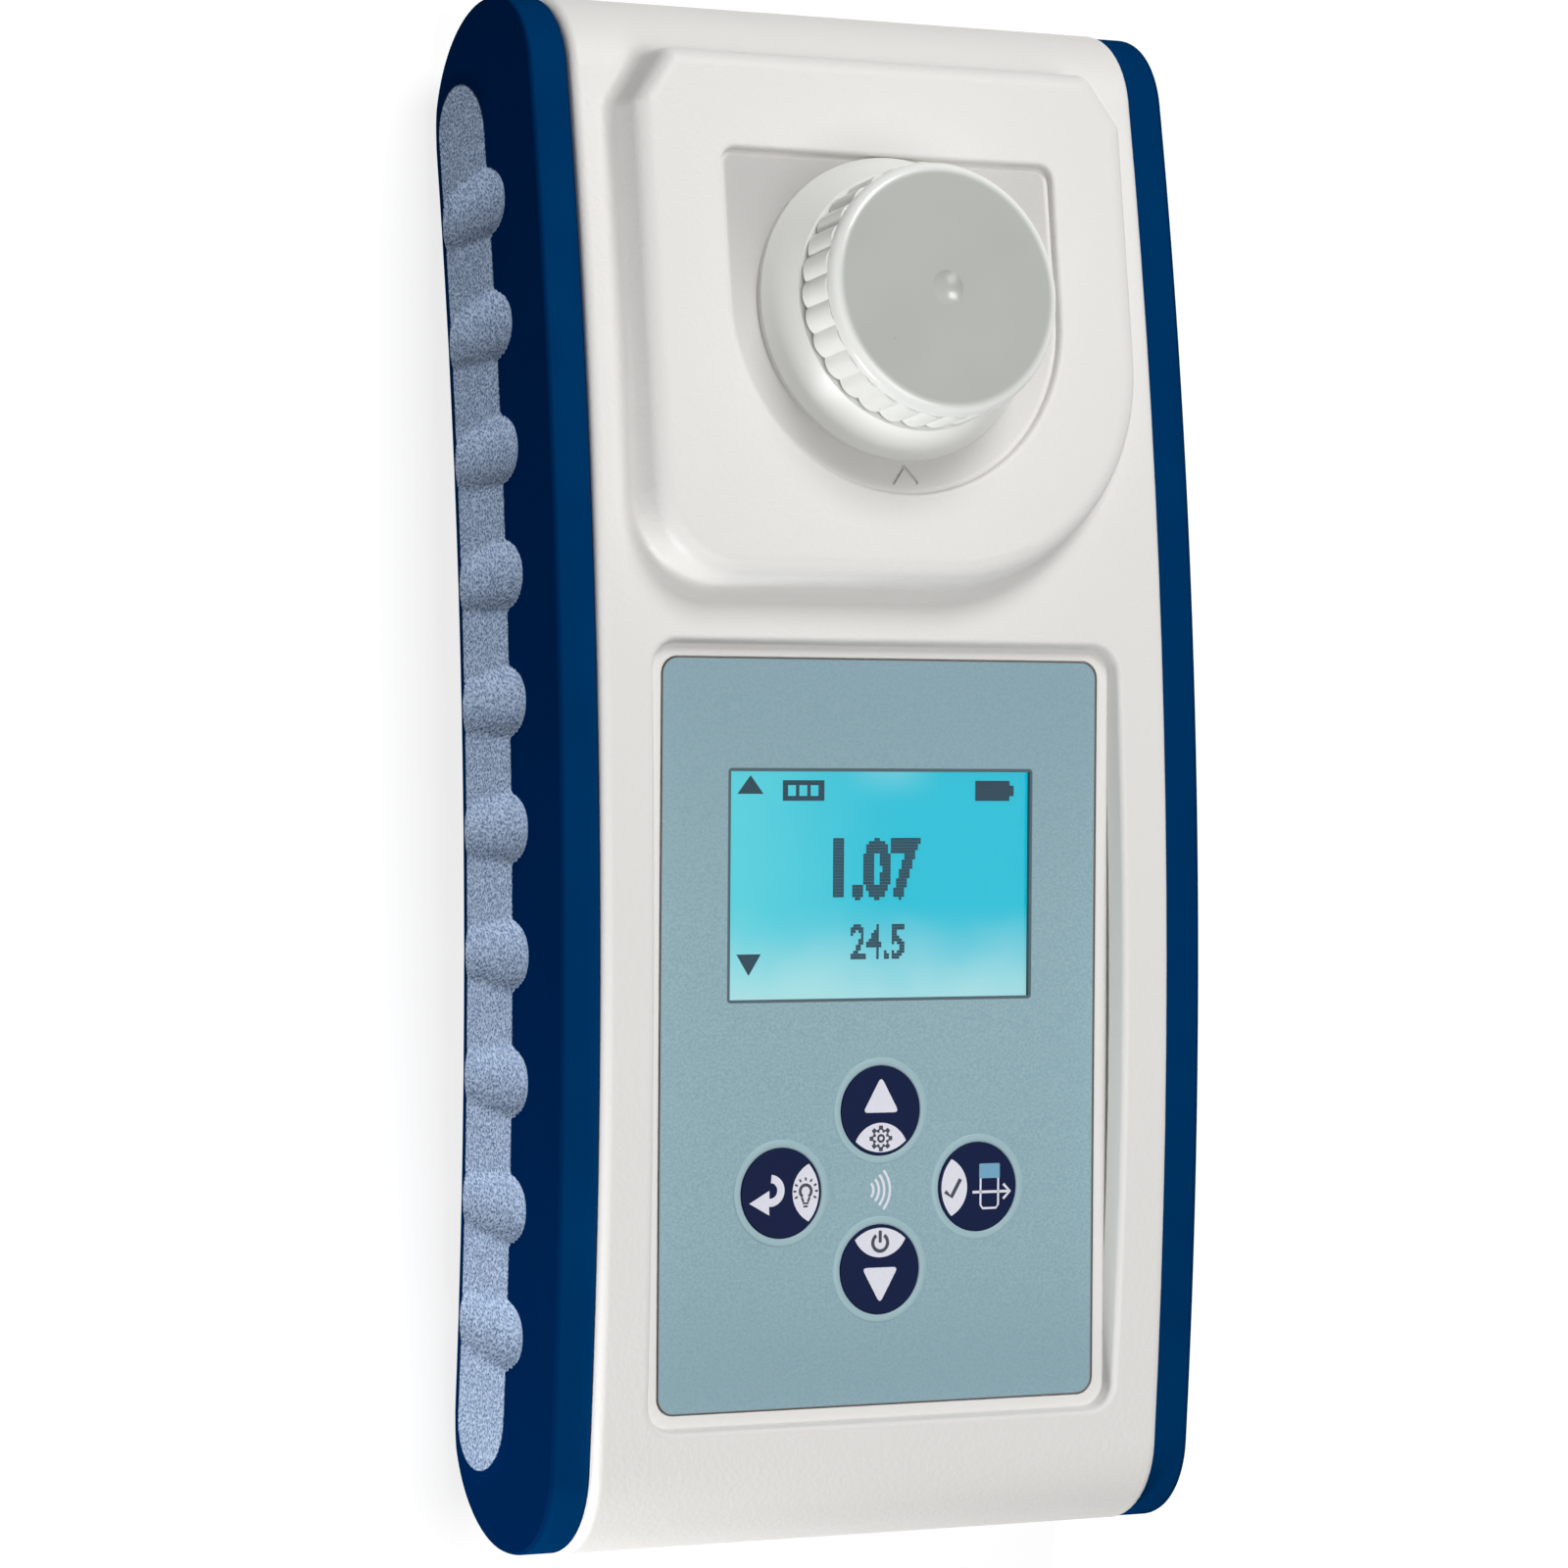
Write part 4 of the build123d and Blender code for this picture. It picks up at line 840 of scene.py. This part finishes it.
def dots(text, middle_y, width, height, pitch, weight):
    """Middles of the display's dots that a number covers when it is drawn at this size."""
    curve = bpy.data.curves.new("number", "FONT")
    curve.body, curve.offset, curve.resolution_u = text, weight, 4
    holder = bpy.data.objects.new("number", curve)
    bpy.context.scene.collection.objects.link(holder)
    bpy.context.view_layer.update()
    mesh = bpy.data.meshes.new_from_object(holder.evaluated_get(bpy.context.evaluated_depsgraph_get()))
    mesh.calc_loop_triangles()
    points = np.array([v.co[:2] for v in mesh.vertices])
    triangles = np.array([[points[i] for i in t.vertices] for t in mesh.loop_triangles])
    bpy.data.objects.remove(holder)
    bpy.data.curves.remove(curve)
    low, high = points.min(0), points.max(0)
    columns, rows = round(width / pitch), round(height / pitch)
    found = []
    for c in range(columns):
        for r in range(rows):
            if covered(low + (high - low) * np.array([(c + 0.5) / columns, (r + 0.5) / rows]), triangles):
                found.append(((c + 0.5) * pitch - width / 2, middle_y + (r + 0.5) * pitch - height / 2))
    return found


# What the display shows: two numbers of square dots, and plain marks. Each number has its text, the place
# of its middle above the window's middle, its width and height, the dots' pitch, and how bold it is.
GLASS_TOP, DOT_LIFT, DOT_THICK, DOT_SHARE = -1.2, 0.012, 0.02, 0.96
READINGS = (
    ("reading", "1.07", 1.6, 10.4, 6.4, 0.32, 0.045),
    ("clock", "24.5", -5.9, 6.2, 3.5, 0.3, 0.022),
)
for name, text, height_up, wide, high, pitch, weight in READINGS:
    grid = Pattern("display_" + name, dot=pitch * DOT_SHARE, thickness=DOT_THICK)
    dot = grid.box(grid.size("dot"), grid.size("dot"), grid.size("thickness"))
    places = dots(text, WINDOW_Y + height_up, wide, high, pitch, weight)
    at = [on_panel(x, y, GLASS_TOP + DOT_LIFT) for x, y in places]
    finished("display_" + name, grid.set_on_points(dot, at, [PANEL_LEAN] * len(at), PIXEL), PIXEL,
             "housing")

left, right = -WINDOW_W / 2, WINDOW_W / 2
top, foot = WINDOW_Y + WINDOW_H / 2, WINDOW_Y - WINDOW_H / 2
up_mark = [(left + 1.2, top - 2.3), (left + 4.2, top - 2.3), (left + 2.7, top - 0.4)]
down_mark = [(left + 1.2, foot + 4.6), (left + 4.0, foot + 4.6), (left + 2.6, foot + 2.4)]
battery = [(right - 6.0, top - 3.0), (right - 1.9, top - 3.0), (right - 1.9, top - 2.5),
           (right - 1.4, top - 2.5), (right - 1.4, top - 1.4), (right - 1.9, top - 1.4),
           (right - 1.9, top - 0.9), (right - 6.0, top - 0.9)]
badge = block(left + 6.4, top - 3.0, left + 11.2, top - 0.9)
badge_fields = [block(left + 7.0 + 1.3 * i, top - 2.5, left + 7.9 + 1.3 * i, top - 1.4) for i in range(3)]
decal("display_marks", [up_mark, down_mark, battery, badge], GLASS_TOP + FILM_LIFT, PIXEL,
      "housing")
decal("display_badge", badge_fields, GLASS_TOP + TOP_FILM_LIFT, DISPLAY, "housing")

# Studio: a pale floor and a dim even room, both white to the camera
FLOOR_HALF, FLOOR_Z, FLOOR_GLOW = 4, -0.0002, 0.78
ROOM_LEVEL, BACKDROP_LEVEL = 0.14, 1.0
LIGHT_WHITE, LIGHT_NONE = (1, 1, 1, 1), (0, 0, 0, 1)
bpy.context.scene.view_settings.view_transform = "Standard"
floor_mesh = bpy.data.meshes.new("studio_floor")
floor_corners = block(-FLOOR_HALF, -FLOOR_HALF, FLOOR_HALF, FLOOR_HALF)
floor_mesh.from_pydata([(x, y, FLOOR_Z) for x, y in floor_corners], [], [(0, 1, 2, 3)])
studio_floor = bpy.data.objects.new("studio_floor", floor_mesh)
bpy.context.scene.collection.objects.link(studio_floor)
floor_finish = Finish("studio_floor", Roughness=0.9, Emission_Strength=FLOOR_GLOW)
floor_finish.colour(floor_finish.mix(floor_finish.noise(60.0), srgb(146, 146, 146), srgb(152, 152, 152)))
floor_finish.glow(floor_finish.mix(floor_finish.seen(), LIGHT_NONE, LIGHT_WHITE))
floor_mesh.materials.append(floor_finish.material)

world = bpy.data.worlds.new("studio_room")
bpy.context.scene.world = world
world.use_nodes = True
sky = Tree(world.node_tree)
sky.tree.nodes.clear()
room, backdrop = (sky.node("ShaderNodeBackground", None, {"Color": LIGHT_WHITE, "Strength": strength})
                  for strength in (ROOM_LEVEL, BACKDROP_LEVEL))
sky_end = sky.tree.nodes.new("ShaderNodeOutputWorld")
sky.feed(sky_end.inputs[0], sky.node("ShaderNodeMixShader", None, {0: sky.seen(), 1: room, 2: backdrop}))

# Square soft boxes: name, place and target in metres, width in metres and power in watts
for name, place, target, width, power in (
    ("side_box", (-0.2, -0.2, 0.022), (-0.037, 0.03, 0.016), 0.04, 0.62),
    ("top_box", (0.12, 0.6, 0.72), (0, 0, 0.02), 0.35, 5.0),
    ("front_box", (0.12, -0.25, 1.05), (0, 0, 0.02), 0.56, 4.6),
):
    lamp = bpy.data.lights.new(name, "AREA")
    lamp.shape, lamp.size, lamp.energy = "SQUARE", width, power
    holder = bpy.data.objects.new(name, lamp)
    bpy.context.scene.collection.objects.link(holder)
    holder.location = place
    holder.rotation_euler = (Vector(target) - Vector(place)).to_track_quat("-Z", "Y").to_euler()

# Camera: set from the photograph, in a frame whose zero height is the crest of the arch
YAW, PITCH, ROLL = radians(27.7209), radians(-2.1467), radians(0.9759)
STAND, LENS_PX, SHIFT_X, SHIFT_Y = 584.3569, 5826.4567, 10.6705, 1.2825
PHOTO_PX, SENSOR, BODY_SHIFT = 1600, 36.0, -0.45
yaw = Matrix(((cos(YAW), 0, sin(YAW)), (0, 1, 0), (-sin(YAW), 0, cos(YAW))))
pitch = Matrix(((1, 0, 0), (0, cos(PITCH), -sin(PITCH)), (0, sin(PITCH), cos(PITCH))))
roll = Matrix(((cos(ROLL), -sin(ROLL), 0), (sin(ROLL), cos(ROLL), 0), (0, 0, 1)))
look = (roll @ pitch @ yaw).transposed()
eye = (look @ Vector((-SHIFT_X, -SHIFT_Y, STAND)) + Vector((0, BODY_SHIFT, CREST))) * MM
lens = bpy.data.cameras.new("camera")
lens.sensor_fit, lens.sensor_width, lens.sensor_height = "AUTO", SENSOR, SENSOR
lens.lens = SENSOR * LENS_PX / PHOTO_PX
lens.clip_start = 0.05
camera = bpy.data.objects.new("camera", lens)
bpy.context.scene.collection.objects.link(camera)
camera.matrix_world = Matrix.Translation(eye) @ look.to_4x4()
bpy.context.scene.camera = camera
